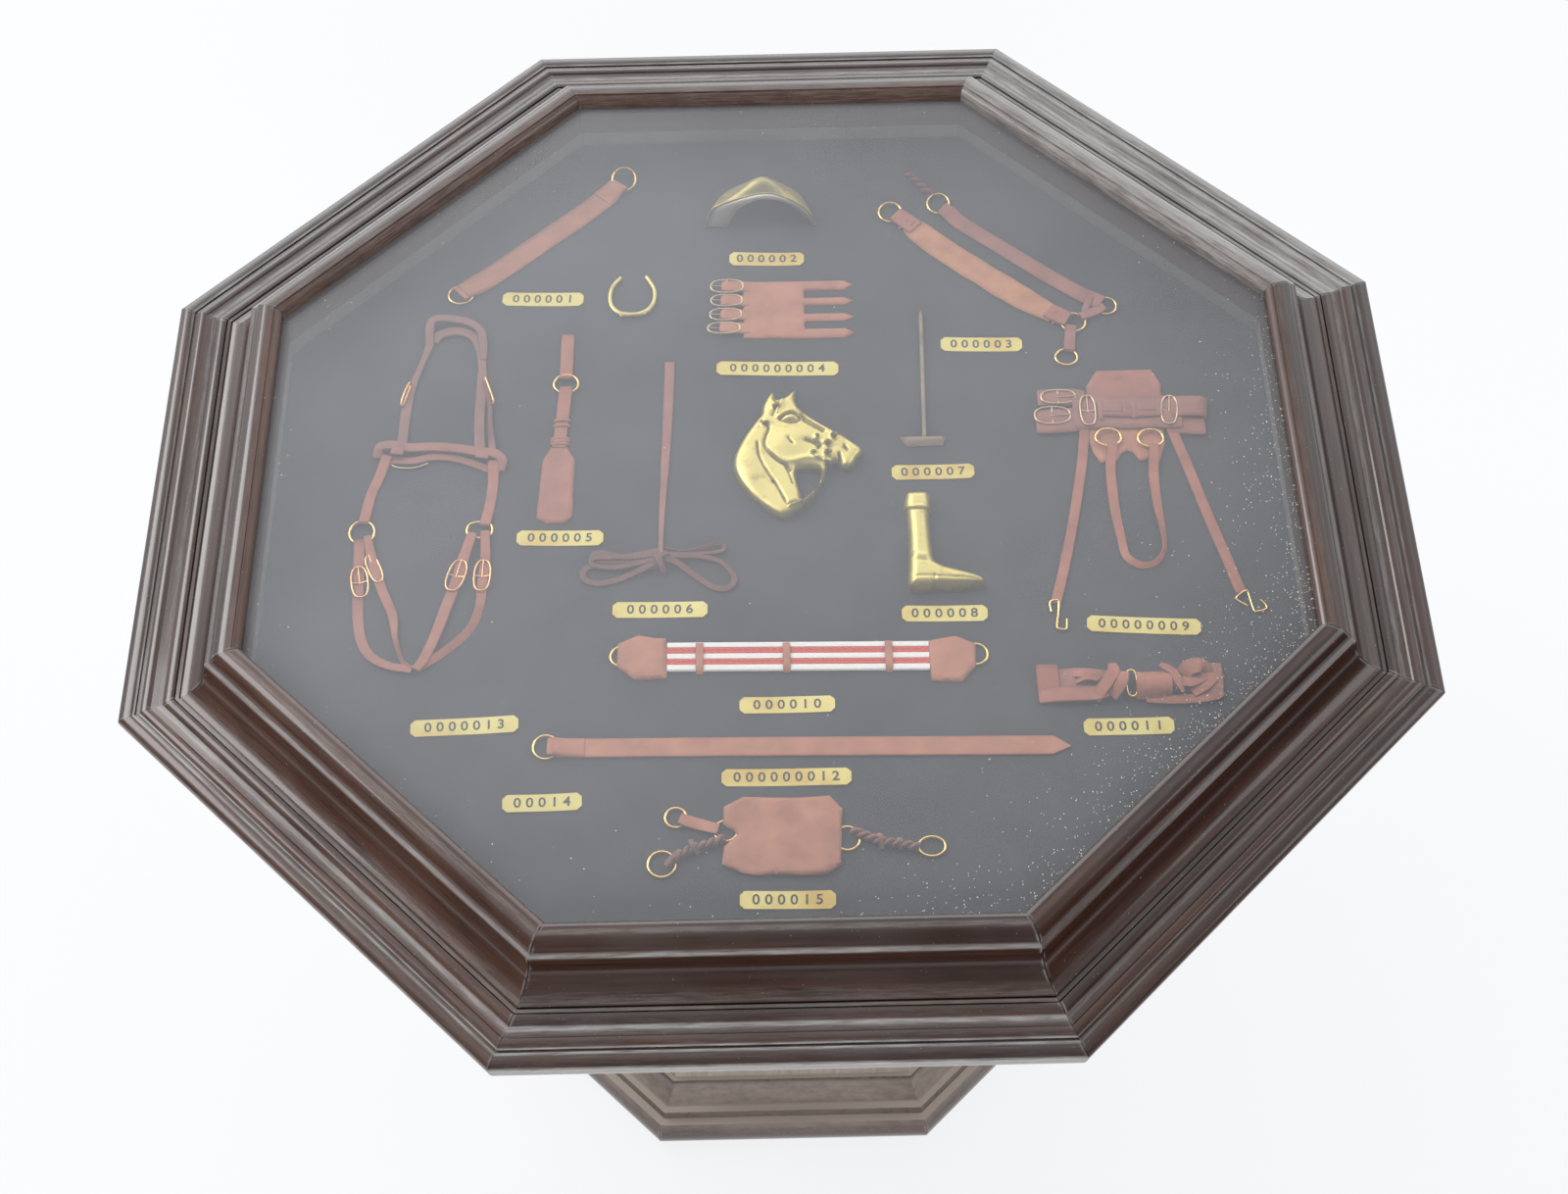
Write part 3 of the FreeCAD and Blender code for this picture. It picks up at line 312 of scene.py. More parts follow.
def metal(name, colour, rough, tarnish=0.3, hollows=0.0):
    """Wire or cast metal; with hollows, the second of its marks says how dull a place is."""
    paint = Paint(name)
    cloud = paint.noise(paint.place(), 120.0, 5.0, 0.65)
    shade = paint.mix(paint.ramp(cloud, (0.54, 0.0), (0.68, tarnish)), colour, TARNISH)
    worn = paint.ramp(cloud, (0.3, rough), (0.75, rough + 0.22))
    if hollows:
        dull = paint.times(paint.marks()[1], hollows)
        shade = paint.mix(dull, shade, tone(TARNISH, 0.6))
        worn = paint.plus(worn, paint.times(dull, 0.25))
    paint.set(Base_Color=shade, Metallic=1.0, Roughness=worn)
    paint.bump(paint.noise(paint.place(), 300.0), 0.00006, 0.3)
    return paint.material


def label_paper(name):
    """Yellowed paper, browner at its edges and in spots."""
    paint = Paint(name)
    edge = paint.ramp(paint.size(paint.marks()[1]), (0.46, 0.0), (0.5, 0.5))
    age = paint.noise(paint.place(), 26.0)
    spots = paint.ramp(paint.noise(paint.place(), 210.0, 4.0), (0.6, 0.0), (0.75, 0.4))
    shade = paint.ramp(age, (0.34, PAPER_BROWN), (0.5, PAPER_YELLOW), (0.68, PAPER_PALE))
    shade = paint.mix(spots, shade, PAPER_SPOT)
    paint.set(Base_Color=paint.mix(edge, shade, PAPER_EDGE), Roughness=0.7)
    paint.bump(paint.noise(paint.place(), 700.0), 0.0001, 0.4)
    return paint.material


def yarn(name, colour, pitch):
    """Woven tape: slanting ribs across it, with soft thread noise."""
    paint = Paint(name)
    run, reach = paint.marks()[0], paint.marks()[1]
    chevron = paint.plus(paint.times(run, 1.0 / pitch), paint.size(paint.times(reach, 1.6)))
    rib = paint.calc("PINGPONG", chevron, 0.5)
    thread = paint.noise(paint.place(), 1600.0)
    dark = tone(colour, 0.55)
    shade = paint.ramp(rib, (0.05, dark), (0.25, colour))
    shade = paint.mix(paint.ramp(thread, (0.3, 0.25), (0.6, 0.0)), shade, dark)
    paint.set(Base_Color=shade, Roughness=0.85, Sheen_Weight=0.2)
    paint.bump(paint.plus(rib, paint.times(thread, 0.3)), 0.0005, 0.6)
    return paint.material


# Least share that the pane mirrors, share of its film, and the two sizes of speck on it; the film is a dust
# haze that also carries a painted reflection of the room
GLASS_FACE = 0.005
FILM = 0.148
FILM_TINT = (0.81, 0.835, 0.88)
SPECK_TINT = (0.84, 0.77, 0.64)
SPECKS = [(480.0, 0.12), (800.0, 0.14)]
SPECK_CHANCE = 0.26
SPECK_COVER = 0.85
# The film is stronger away from the front and from the right, as a painted reflection of the room
VEIL_EAST = -0.7
VEIL_NORTH = 0.85


def octagon_reach(paint, x, y):
    """Distance from the middle of the table, square to its nearest side."""
    slant = paint.times(paint.plus(paint.size(x), paint.size(y)), math.sqrt(0.5))
    return paint.most(paint.most(paint.size(x), paint.size(y)), slant)


def glass_specks(paint, x, y):
    """Coarse dust along the edge of the pane, most of it in the near right corner."""
    edge = paint.ramp(octagon_reach(paint, x, y), (0.215, 0.03), (0.25, 0.25), (0.268, 1.0))
    corner = paint.ramp(paint.minus(x, paint.times(y, 0.6)), (0.17, 0.03), (0.35, 1.0))
    where = paint.times(paint.times(edge, corner), SPECK_CHANCE)
    specks = 0.0
    for scale, least in SPECKS:
        sockets = {"Vector": paint.place(), "Scale": scale}
        dots = paint.node("TexVoronoi", sockets, voronoi_dimensions="2D").outputs
        chance = paint.split(dots["Color"])[0]
        chosen = paint.calc("LESS_THAN", chance, where)
        near = paint.calc("LESS_THAN", dots["Distance"], paint.calc("MULTIPLY_ADD", chance, 0.3, least))
        specks = paint.most(specks, paint.times(chosen, near))
    return specks


def window_glass(name, middle):
    """Clear pane that mirrors a little of the room; film and specks lie above its middle level."""
    paint = Paint(name)
    paint.tree.nodes.remove(paint.shader)
    x, y, z = paint.split(paint.place())
    upper = paint.calc("GREATER_THAN", z, middle)
    facing = paint.node("LayerWeight", {"Blend": 0.5}).outputs["Facing"]
    steep = paint.times(paint.calc("POWER", facing, 5.0), 0.95)
    mirror = paint.times(paint.plus(steep, GLASS_FACE), upper)
    clear = paint.node("BsdfTransparent").outputs[0]
    gloss = paint.node("BsdfGlossy", {"Roughness": 0.02}).outputs[0]
    pane = paint.node("MixShader", {0: mirror, 1: clear, 2: gloss}).outputs[0]
    # Film: dust haze and painted reflection, tinted like the room
    film_and_sheen = paint.ramp(paint.noise(paint.place(), 6.0), (0.3, 0.9 * FILM), (0.7, 1.1 * FILM))
    slope = paint.calc("MULTIPLY_ADD", x, VEIL_EAST, paint.calc("MULTIPLY_ADD", y, VEIL_NORTH, 1.0))
    specks = glass_specks(paint, x, y)
    dust_and_sheen = paint.most(paint.times(film_and_sheen, slope), paint.times(specks, SPECK_COVER))
    haze = paint.node("BsdfDiffuse", {"Color": paint.mix(specks, FILM_TINT, SPECK_TINT)}).outputs[0]
    paint.show(paint.node("MixShader", {0: paint.times(dust_and_sheen, upper), 1: pane, 2: haze}).outputs[0])
    return paint.material


def printed_ink(name):
    paint = Paint(name)
    worn = paint.noise(paint.place(), 500.0)
    paint.set(Base_Color=paint.ramp(worn, (0.35, INK_BLACK), (0.8, INK_FADED)), Roughness=0.6)
    return paint.material


TAN = leather("leather_tan", (0.365, 0.145, 0.084))
BROWN = leather("leather_brown", (0.30, 0.108, 0.069))
DARK = leather("leather_dark", (0.11, 0.042, 0.031), shine=0.5)
MAUVE = leather("leather_mauve", (0.25, 0.102, 0.077))
WORN = leather("leather_worn", (0.19, 0.084, 0.066), shine=0.45)
SUEDE = leather("leather_suede", (0.41, 0.185, 0.10), grain=1.8, shine=0.8)
GOLD = metal("wire_gold", (0.88, 0.57, 0.19), 0.14)
COPPER = metal("wire_copper", (0.86, 0.45, 0.20), 0.18)
PALE = metal("wire_pale", (0.60, 0.45, 0.27), 0.24)
BRASS = metal("cast_brass", (0.64, 0.535, 0.185), 0.36, 0.4, hollows=0.85)
SHEET_BRASS = metal("sheet_brass", (0.76, 0.74, 0.70), 0.45, 0.2)
CROWN_BRASS = metal("crown_brass", (0.46, 0.385, 0.17), 0.5, 0.4)
# Near-black brass for the cap's inner side: painted shade of its hollow
SHADED_BRASS_LINING = metal("shaded_brass_lining", (0.08, 0.07, 0.045), 0.55, 0.5)
INK = printed_ink("printed_ink")
PAPER = label_paper("label_paper")
WHITE_TAPE = yarn("tape_white", (0.90, 0.87, 0.83), 0.0012)
RED_CORD = yarn("cord_red", (0.72, 0.10, 0.065), 0.0016)
GREY_WOOD = bare_timber("mallet_wood", (0.30, 0.22, 0.15))


# Shapes of the miniatures, drawn in millimetres round the spot of each on the felt
PLACES = {
    "girth": (-131, 189.8), "cap": (-6.4, 195.9), "shoe": (-78.9, 145.9), "guard": (0, 133.9),
    "breast": (128, 164.9), "headstall": (-185, 9.9), "flap": (-116, 50), "lace": (-59.9, -39),
    "horse": (9.9, 31.3), "mallet": (79.9, 36.9), "boot": (79.9, -29.9), "roller": (190.1, 50),
    "web": (9.1, -101), "hobble": (175.9, -121.9), "over": (15, -155), "pad": (0, -205), "table": (0, 0),
}
# Thickness of common hide, radii of the wires, and how finely shapes are drawn
HIDE = 1.3
EASED_EDGE = 0.5
WIRE = 0.7
BUCKLE_WIRE = 0.52
PRONG_WIRE = 0.3
BAR_WIRE = 0.38
RING_STEPS = 16
LINK_POWER = 0.8
HIDE_STEP = 1.6


class Shape:
    """Collects the faces of one piece."""

    def __init__(self, item):
        self.east, self.north = PLACES[item]
        self.lay = None
        self.points = []
        self.faces = []
        self.marks = []

    def add(self, points, faces, marks):
        """Faces given in millimetres round the spot, after any rule that lays their points elsewhere."""
        first = len(self.points)
        if self.lay:
            points = [self.lay(*point) for point in points]
        self.points += [((self.east + x) * MM, (self.north + y) * MM, FELT_TOP + z * MM)
                        for x, y, z in points]
        self.faces += [tuple(first + corner for corner in face) for face in faces]
        self.marks += marks

    def make(self, name, material, slot, *nodes, wall=0.0, lining=None):
        """The finished piece, riding the table in place of its nodes."""
        mesh = bpy.data.meshes.new(name)
        mesh.from_pydata(self.points, [], self.faces)
        mesh.validate()
        cut = mesh.uv_layers.new(name="cut")
        for loop in mesh.loops:
            cut.data[loop.index].uv = self.marks[loop.vertex_index]
        mesh.shade_smooth()
        mesh.set_sharp_from_angle(angle=math.radians(50))
        mesh.materials.append(material)
        piece = bpy.data.objects.new(name, mesh)
        bpy.context.scene.collection.objects.link(piece)
        if wall:
            shell = piece.modifiers.new("Wall", "SOLIDIFY")
            shell.thickness = wall * MM
            mesh.materials.append(lining)
            shell.material_offset = 1
        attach(piece, "table")
        if nodes:
            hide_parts(*nodes)
        return piece


def smooth(route, spacing=1.0, closed=False, count_each=None):
    """Points along a soft curve through a route, with any further values carried along."""
    rows = np.array(route, float)
    count = len(rows)
    spans = count if closed else count - 1
    made = []
    for index in range(spans):
        picks = [index - 1, index, index + 1, index + 2]
        picks = [pick % count if closed else min(max(pick, 0), count - 1) for pick in picks]
        a, b, c, d = rows[picks]
        steps = count_each or max(2, int(np.linalg.norm(c[:3] - b[:3]) / spacing))
        for step in range(steps):
            t = step / steps
            made.append(0.5 * (2 * b + (c - a) * t + (2 * a - 5 * b + 4 * c - d) * t * t
                               + (3 * b - a - 3 * c + d) * t ** 3))
    if not closed:
        made.append(rows[-1])
    return np.array(made)


def sweep(shape, path, section, closed=False, rolls=None, widths=None):
    """Carry a closed section of across and up values along a path."""
    path = np.array(path, float)
    count, sides = len(path), len(section)
    if closed:
        tangents = np.roll(path, -1, 0) - np.roll(path, 1, 0)
    else:
        tangents = np.gradient(path, axis=0)
    points, marks, run = [], [], 0.0
    for index in range(count):
        ahead = Vector(tangents[index]).normalized()
        side = ahead.cross(Vector((0, 0, 1))).normalized()
        up = side.cross(ahead)
        if rolls is not None:
            spin = Matrix.Rotation(rolls[index], 3, ahead)
            side, up = spin @ side, spin @ up
        wide = 1.0 if widths is None else widths[index]
        if index:
            run += float(np.linalg.norm(path[index] - path[index - 1]))
        centre = Vector(path[index])
        for across, rise, mark in section:
            points.append(tuple(centre + side * across * wide + up * rise))
            marks.append((run * MM, mark))
    faces = []
    for index in range(count if closed else count - 1):
        here, there = index * sides, (index + 1) % count * sides
        for corner in range(sides):
            following = (corner + 1) % sides
            faces.append((here + corner, here + following, there + following, there + corner))
    if not closed:
        faces.append(tuple(range(sides))[::-1])
        faces.append(tuple((count - 1) * sides + corner for corner in range(sides)))
    shape.add(points, faces, marks)


def strap_section(width, thick):
    """Hide with eased edges, wider than thick."""
    half = width / 2
    top = [(-1, 0.55, 0.5), (-0.93, 0.95, 0.46), (-0.5, 1.0, 0.25), (0, 1.03, 0.0), (0.5, 1.0, 0.25),
           (0.93, 0.95, 0.46), (1, 0.55, 0.5)]
    under = [(0.93, 0.08, 0.5), (0.4, 0.0, 0.3), (-0.4, 0.0, 0.3), (-0.93, 0.08, 0.5)]
    return [(across * half, rise * thick, mark) for across, rise, mark in top + under][::-1]


def strap(shape, route, width, thick=HIDE, wobble=0.03, spacing=1.0):
    """A strap along points of east, north, up, share of the width and roll in degrees."""
    spare = (0.0, 1.0, 0.0)
    full = [tuple(point) + spare[len(point) - 2:] for point in route]
    rows = smooth(full, spacing)
    wobbles = [noise.noise(Vector((0.11 * x, 0.11 * y, width))) for x, y in rows[:, :2]]
    widths = [share * (1 + wobble * value) for share, value in zip(rows[:, 3], wobbles)]
    sweep(shape, rows[:, :3], strap_section(width, thick), rolls=np.radians(rows[:, 4]), widths=widths)


def wire_section(radius, sides=10):
    """A round section, with its marks counted round it."""
    shares = [side / sides for side in range(sides)]
    return [(radius * math.cos(math.tau * share), radius * math.sin(math.tau * share), share)
            for share in shares]


def wire(shape, route, radius, closed=False, spacing=0.5):
    """Round wire along a soft curve."""
    sweep(shape, smooth(route, spacing, closed), wire_section(radius), closed)


def ring(shape, east, north, up, across, tall, turn=0.0, tilt=0.0, radius=WIRE):
    """A loop of wire: rounded like a link, lying at a height and raised on its far side by a tilt."""
    power = LINK_POWER if abs(across - tall) > 3 else 1.0
    cos, sin = math.cos(math.radians(turn)), math.sin(math.radians(turn))
    route = []
    for step in range(RING_STEPS):
        angle = math.tau * step / RING_STEPS
        x = across / 2 * math.copysign(abs(math.cos(angle)) ** power, math.cos(angle))
        y = tall / 2 * math.copysign(abs(math.sin(angle)) ** power, math.sin(angle))
        px, py = x * cos - y * sin, x * sin + y * cos
        route.append((east + px, north + py, up + radius + tilt * (0.5 + py / max(across, tall))))
    wire(shape, route, radius, closed=True)


def inside(points, outline):
    """Which points lie in a closed outline."""
    x, y = points[:, 0], points[:, 1]
    found = np.zeros(len(points), bool)
    for (ax, ay), (bx, by) in zip(outline, np.roll(outline, -1, 0)):
        crosses = (ay > y) != (by > y)
        slope = (bx - ax) * (y - ay) / np.where(by == ay, 1e-9, by - ay) + ax
        found ^= crosses & (x < slope)
    return found


def distance(points, route, closed=False):
    """How far points lie from a run of straight pieces."""
    route = np.array(route, float)[:, :2]
    ends = np.roll(route, -1, 0) if closed else route[1:]
    best = np.full(len(points), 1e9)
    for a, b in zip(route, ends):
        along = b - a
        share = np.clip(((points - a) @ along) / max(along @ along, 1e-9), 0, 1)
        best = np.minimum(best, np.linalg.norm(points - a - share[:, None] * along, axis=1))
    return best


def fill(loops, step):
    """Flat points and faces inside the first loop and outside any other."""
    low, high = loops[0].min(0), loops[0].max(0)
    grid = np.array([(x, y) for row, y in enumerate(np.arange(low[1], high[1], step * 0.87))
                     for x in np.arange(low[0] + (row % 2) * step / 2, high[0], step)])
    keep = inside(grid, loops[0])
    edges, first = [], 0
    for index, loop in enumerate(loops):
        keep &= distance(grid, loop, True) > 0.45 * step
        if index:
            keep &= ~inside(grid, loop)
        count = len(loop)
        edges += [(first + corner, first + (corner + 1) % count) for corner in range(count)]
        first += count
    flat = np.vstack(loops + [grid[keep]])
    made = geometry.delaunay_2d_cdt([Vector(point) for point in flat], edges, [], 0, 1e-6)
    flat = np.array([tuple(point) for point in made[0]])
    faces = [tuple(face) for face in made[2]]
    middles = np.array([flat[list(face)].mean(0) for face in faces])
    good = inside(middles, loops[0])
    for loop in loops[1:]:
        good &= ~inside(middles, loop)
    return flat, [face for face, wanted in zip(faces, good) if wanted]


def relief(shape, outline, height, step, hole=None, base=0.0, hollow=None):
    """A closed plate or cast piece: its outline stands on a base and its top follows a height rule."""
    loops = [np.array(loop, float) for loop in (outline, hole) if loop is not None]
    flat, faces = fill(loops, step)
    edge = np.minimum.reduce([distance(flat, loop, True) for loop in loops])
    dull = hollow(flat, edge) if hollow else 0.5 * np.maximum(0.0, 1 - edge / 4)
    points = [(x, y, z) for (x, y), z in zip(flat, height(flat, edge))] + [(x, y, base) for x, y in flat]
    marks = [(x * MM, mark) for (x, y), mark in zip(flat, dull)] + [(x * MM, 0.5) for x, y in flat]
    count = len(flat)
    used = dict.fromkeys(pair for face in faces for pair in zip(face, face[1:] + face[:1]))
    walls = [(b, a, a + count, b + count) for a, b in used if (b, a) not in used]
    under = [tuple(count + corner for corner in face[::-1]) for face in faces]
    shape.add(points, faces + under + walls, marks)


def rounded(edge, reach):
    """A rise from 0 at the edge to 1, like a quarter of a circle."""
    return np.sqrt(np.clip(1 - (1 - np.minimum(edge / reach, 1)) ** 2, 0, 1))


def strokes_rise(points, strokes):
    """Height added along strokes, each with how high, how wide and its route."""
    rise = np.zeros(len(points))
    for high, wide, route in strokes:
        rise += high * np.exp(-(distance(points, smooth(route, 1.0)) / wide) ** 2)
    return rise


def hide_plate(shape, outline, thick, lift=0.0, wave=0.3):
    """Flat leather cut to an outline, with eased edges and a slight wave."""
    def height(points, edge):
        waves = np.array([noise.noise(Vector((x * 0.06, y * 0.06, thick))) for x, y in points])
        eased = thick * (0.55 + 0.45 * np.minimum(edge / EASED_EDGE, 1))
        return lift + eased + wave * (waves + 0.4) * np.minimum(edge, 1)

    relief(shape, corners(outline, 1.5), height, HIDE_STEP, base=lift)


def corners(outline, spacing):
    """Straight edges divided evenly, so that corners stay sharp."""
    made = []
    for a, b in zip(outline, outline[1:] + outline[:1]):
        steps = max(1, int(math.dist(a, b) / spacing))
        made += [(a[0] + (b[0] - a[0]) * t / steps, a[1] + (b[1] - a[1]) * t / steps) for t in range(steps)]
    return np.array(made)


def twist(shape, route, radius, pitch, spread=None):
    """Two strands laid round each other along a route."""
    rows = smooth(route, 0.6)
    spread = spread or radius * 0.9
    tangents = np.gradient(rows, axis=0)
    runs = np.concatenate([[0], np.cumsum(np.linalg.norm(np.diff(rows, axis=0), axis=1))])
    for strand in (0.0, 0.5):
        path = []
        for row, tangent, run in zip(rows, tangents, runs):
            ahead = Vector(tangent).normalized()
            side = ahead.cross(Vector((0, 0, 1))).normalized()
            up = side.cross(ahead)
            turn = math.tau * (run / pitch + strand)
            path.append(tuple(Vector(row) + side * spread * math.cos(turn) + up * spread * math.sin(turn)))
        sweep(shape, path, wire_section(radius, 8))


# Girth: one plain strap folded round a ring at each end
girth = Shape("girth")
strap(girth, [(-45.5, -40, 1.6, 0.8), (-41.5, -36.5, 1.5, 0.85), (-36, -32, 0.2, 0.97),
              (-20, -18.2, 0, 1.0), (0, 0.5, 0, 1.02), (20, 18.7, 0, 1.0), (35, 33.5, 0.3, 0.98),
              (40, 39.5, 1.6, 0.84), (43, 43.2, 1.7, 0.8)], 14.4)
strap(girth, [(-43.5, -38.3, 2.7, 0.78), (-38, -33.6, 1.5, 0.9), (-33, -29.3, 1.0, 0.97)], 14.2, 0.9)
strap(girth, [(41.8, 41.8, 2.8, 0.78), (38, 37.3, 1.7, 0.88), (33, 31.8, 1.1, 0.98)], 14.2, 0.9)
girth.make("girth_strap_hide", TAN, "leather", "girth_strap")

# Overgirth: a long strap with a cut point
over = Shape("over")
strap(over, [(-131.5, 3.4, 1.7, 0.85), (-126, 3.2, 1.4, 0.95), (-120, 2.9, 0.1), (-60, 2.0), (0, 0.9),
             (60, -0.4), (112, -1.4), (119, -1.6, 0, 0.97), (120.5, -1.7, 0, 0.88),
             (128, -2.6, 0, 0.05)], 11.2, wobble=0.02, spacing=1.5)
strap(over, [(-128.5, 3.3, 2.7, 0.85), (-122, 3.0, 1.4, 0.95), (-113, 2.7, 1.0, 0.97)], 11.0, 0.8)
over.make("overgirth_hide", TAN, "leather", "overgirth")

# Breastplate: a broad suede strap and a narrower one, joined by rings
suede = Shape("breast")
strap(suede, [(-48, 30.5, 0.4, 0.72), (-44, 26, 0, 0.92), (-32, 13, 0, 1.0), (-10, -7.5, 0, 1.02),
              (10, -25, 0, 1.0), (22, -34.5, 0, 0.86), (28, -39.5, 0.4, 0.74)], 16.4, wobble=0.05)
suede.make("breastplate_suede", SUEDE, "leather", "breastplate")
breast = Shape("breast")
strap(breast, [(-57.2, 38.8, 1.7, 0.86), (-54, 36, 1.7, 0.95), (-46, 28.3, 1.2, 1.0)], 11.5)
strap(breast, [(25, -37, 1.2, 1.0), (32, -42, 1.7, 0.95), (35.5, -44, 1.7, 0.86)], 11.5)
for east, north in ((-51, 33.2), (-48.3, 30.6), (28.6, -39.6), (31, -41.4)):
    strap(breast, [(east - 4.1, north - 4.5, 0.4), (east, north, 2.2), (east + 4.1, north + 4.5, 0.4)],
          1.3, 1.0)
breast.make("breastplate_ends", BROWN, "leather")
mauve = Shape("breast")
strap(mauve, [(-30.3, 42.6, 1.7, 0.9), (-26.5, 39.5, 1.3), (-20, 32.2), (0, 14), (20, -4, 0, 1.03),
              (40, -21), (50, -28.5, 0.5, 1.05), (55.5, -32, 1.7, 0.9)], 10.2)
strap(mauve, [(56.5, -35, 1.8, 0.9), (51, -38, 0.8), (42.5, -42.2, 1.7, 0.9)], 6.0)
strap(mauve, [(37, -48.5, 1.8, 0.95), (36, -54, 0.3), (35, -62, 0.3), (34.2, -67, 1.8, 0.95)], 6.5)
strap(mauve, [(49, -27.6, 1.4), (47, -33.5, 1.4), (44.5, -38, 0.6, 0.8)], 4.0)
mauve.make("breastplate_straps", MAUVE, "leather")
tail = Shape("breast")
twist(tail, [(-48.5, 71.5, 1.2), (-44, 65.5, 1.8), (-39.5, 59, 1.8), (-35, 53.2, 1.6)], 1.5, 11)
tail.make("breastplate_tail", DARK, "leather")

# Headstall: crown, cheek straps, browband and two pairs of reins
crown = Shape("headstall")
strap(crown, [(-6, 103, 0.3), (-6.5, 112, 2.6), (-5, 119.5, 3.4), (4, 120.5, 3.2), (15, 117.5, 3.0),
              (21.5, 112, 2.6), (23.5, 104, 1.6), (24.5, 92, 0.8, 0.75)], 4.8)
strap(crown, [(-4, 106, 0), (-1, 110.5, 0.6), (7, 113, 0.8), (15, 111, 0.6), (20.5, 104.5, 0.2),
              (23.5, 90, 0.2, 0.8), (24.2, 76, 0.2), (24, 50, 0), (25.6, 27, 1.6)], 5.8)
strap(crown, [(-6, 104, 0.4, 0.8), (-9.5, 90, 0.6, 0.6), (-13, 77, 0.4, 0.7), (-15.8, 62, 0),
              (-16.6, 45, 0), (-16.8, 27.5, 1.6)], 5.8)
strap(crown, [(26, 76, 1.6, 0.6, 40), (29.5, 62, 1.2, 0.6, 50), (30.8, 45, 1.0, 0.7, 50),
              (33, 25, 1.6, 0.9, 20)], 5.2)
crown.make("headstall_crown", WORN, "leather")
reins = Shape("headstall")
strap(reins, [(-24, 25, 1.7), (-27.4, 12), (-31, 0), (-33, -15, 0.4), (-33.6, -20.2, 1.9, 0.9)], 6.0)
strap(reins, [(33, 20, 1.5), (33.6, 5), (32.4, -10), (31, -20, 0.8), (30.6, -23.5, 1.9, 0.9)], 6.0)
strap(reins, [(-35.2, -31, 1.9, 0.9), (-34.6, -36, 0.4), (-33.4, -58), (-32, -80), (-29, -95, 0, 0.95),
              (-23.5, -104.5, 0.2, 0.9), (-14, -110.5, 0.4, 0.8), (-2, -113.2, 0.6, 0.8)], 6.0)
strap(reins, [(-30.6, -29.5, 2.6, 0.8), (-26, -48, 1.5), (-20, -65, 0.8), (-14, -80, 0.8, 0.95),
              (-11, -95, 0.6, 0.6, 40), (-7, -107, 0.6, 0.5, 50), (-2, -112.6, 0.8, 0.6, 30)], 5.4)
strap(reins, [(24.6, -28.5, 2.2, 0.85), (20.4, -45, 1.0), (17.2, -60, 0.5), (13, -76, 0.8),
              (9, -92, 1.0, 0.95), (4, -107, 1.4, 0.9), (0, -113.6, 1.2, 0.75)], 6.2)
strap(reins, [(31.2, -27.5, 2.2, 0.85), (32, -45, 0.8), (31.2, -60, 0.4), (30, -75, 0.3, 0.9, -25),
              (26, -88, 0.3, 0.9, -40), (18, -98, 0.3, 0.85, -30), (8, -107, 0.2, 0.8, -20),
              (0, -112.6, 0.3, 0.8)], 5.6)
reins.make("headstall_straps", BROWN, "leather", "headstall")
brow = Shape("headstall")
strap(brow, [(-29.5, 25, 0.2, 0.9), (-28.5, 30, 2.6, 0.9), (-22, 31, 3.2), (-12, 29.2, 2.8),
             (2, 29.4, 2.8), (15, 27.6, 2.8), (26, 25, 3.0), (33, 24, 3.2), (38, 20, 2.4, 0.9),
             (37, 14.5, 0.4, 0.9)], 5.8)
strap(brow, [(-22, 22.6, 0.2), (-10, 22, 0.4), (0, 24, 0.6), (10, 23.4, 0.4), (20, 20.2, 0.2),
             (31, 15, 0.2), (37, 14.5, 0.4, 0.8)], 4.6)
for east, north in ((-18.5, 27), (27.5, 23.2)):
    strap(brow, [(east - 3.2, north + 0.6, 4.0), (east, north, 4.3), (east + 3.2, north - 0.4, 4.0)],
          6.4, 0.7)
brow.make("headstall_browband", MAUVE, "leather")

# Riding flap: tab, ring, wrapped handle and a shouldered blade
flap = Shape("flap")
hide_plate(flap, [(-9.6, -20), (-5.2, -10.5), (3.4, -10.5), (8, -20), (7.6, -57.5), (4, -61.5),
                  (-6, -62), (-11.2, -58.5), (-11.4, -54)], 1.7, wave=0.5)
strap(flap, [(1.6, 67.8, 0.2, 0.8), (1.5, 66.8, 0.2), (1.4, 50, 0.2), (1.3, 40, 0.4),
             (1.3, 36.2, 1.8, 0.9)], 7.4, 1.5)
strap(flap, [(1.5, 30, 1.9, 0.85), (1.4, 26, 1.2), (0.2, 8, 0.4), (-0.6, -6, 0.4),
             (-0.9, -12, 0.9, 1.1)], 7.4, 1.6)
for north, wide in ((-5.6, 9.4), (-7.4, 9.8), (-9.2, 9.2), (7, 8.2), (3.4, 8.2)):
    middle = 0.06 * north - 0.2
    strap(flap, [(middle - wide / 2, north + 0.4, 0.3), (middle - wide / 3, north, 1.7),
                 (middle, north - 0.1, 2.1), (middle + wide / 3, north, 1.7),
                 (middle + wide / 2, north + 0.4, 0.3)], 1.7, 0.8)
flap.make("riding_flap_hide", BROWN, "leather", "riding_flap")

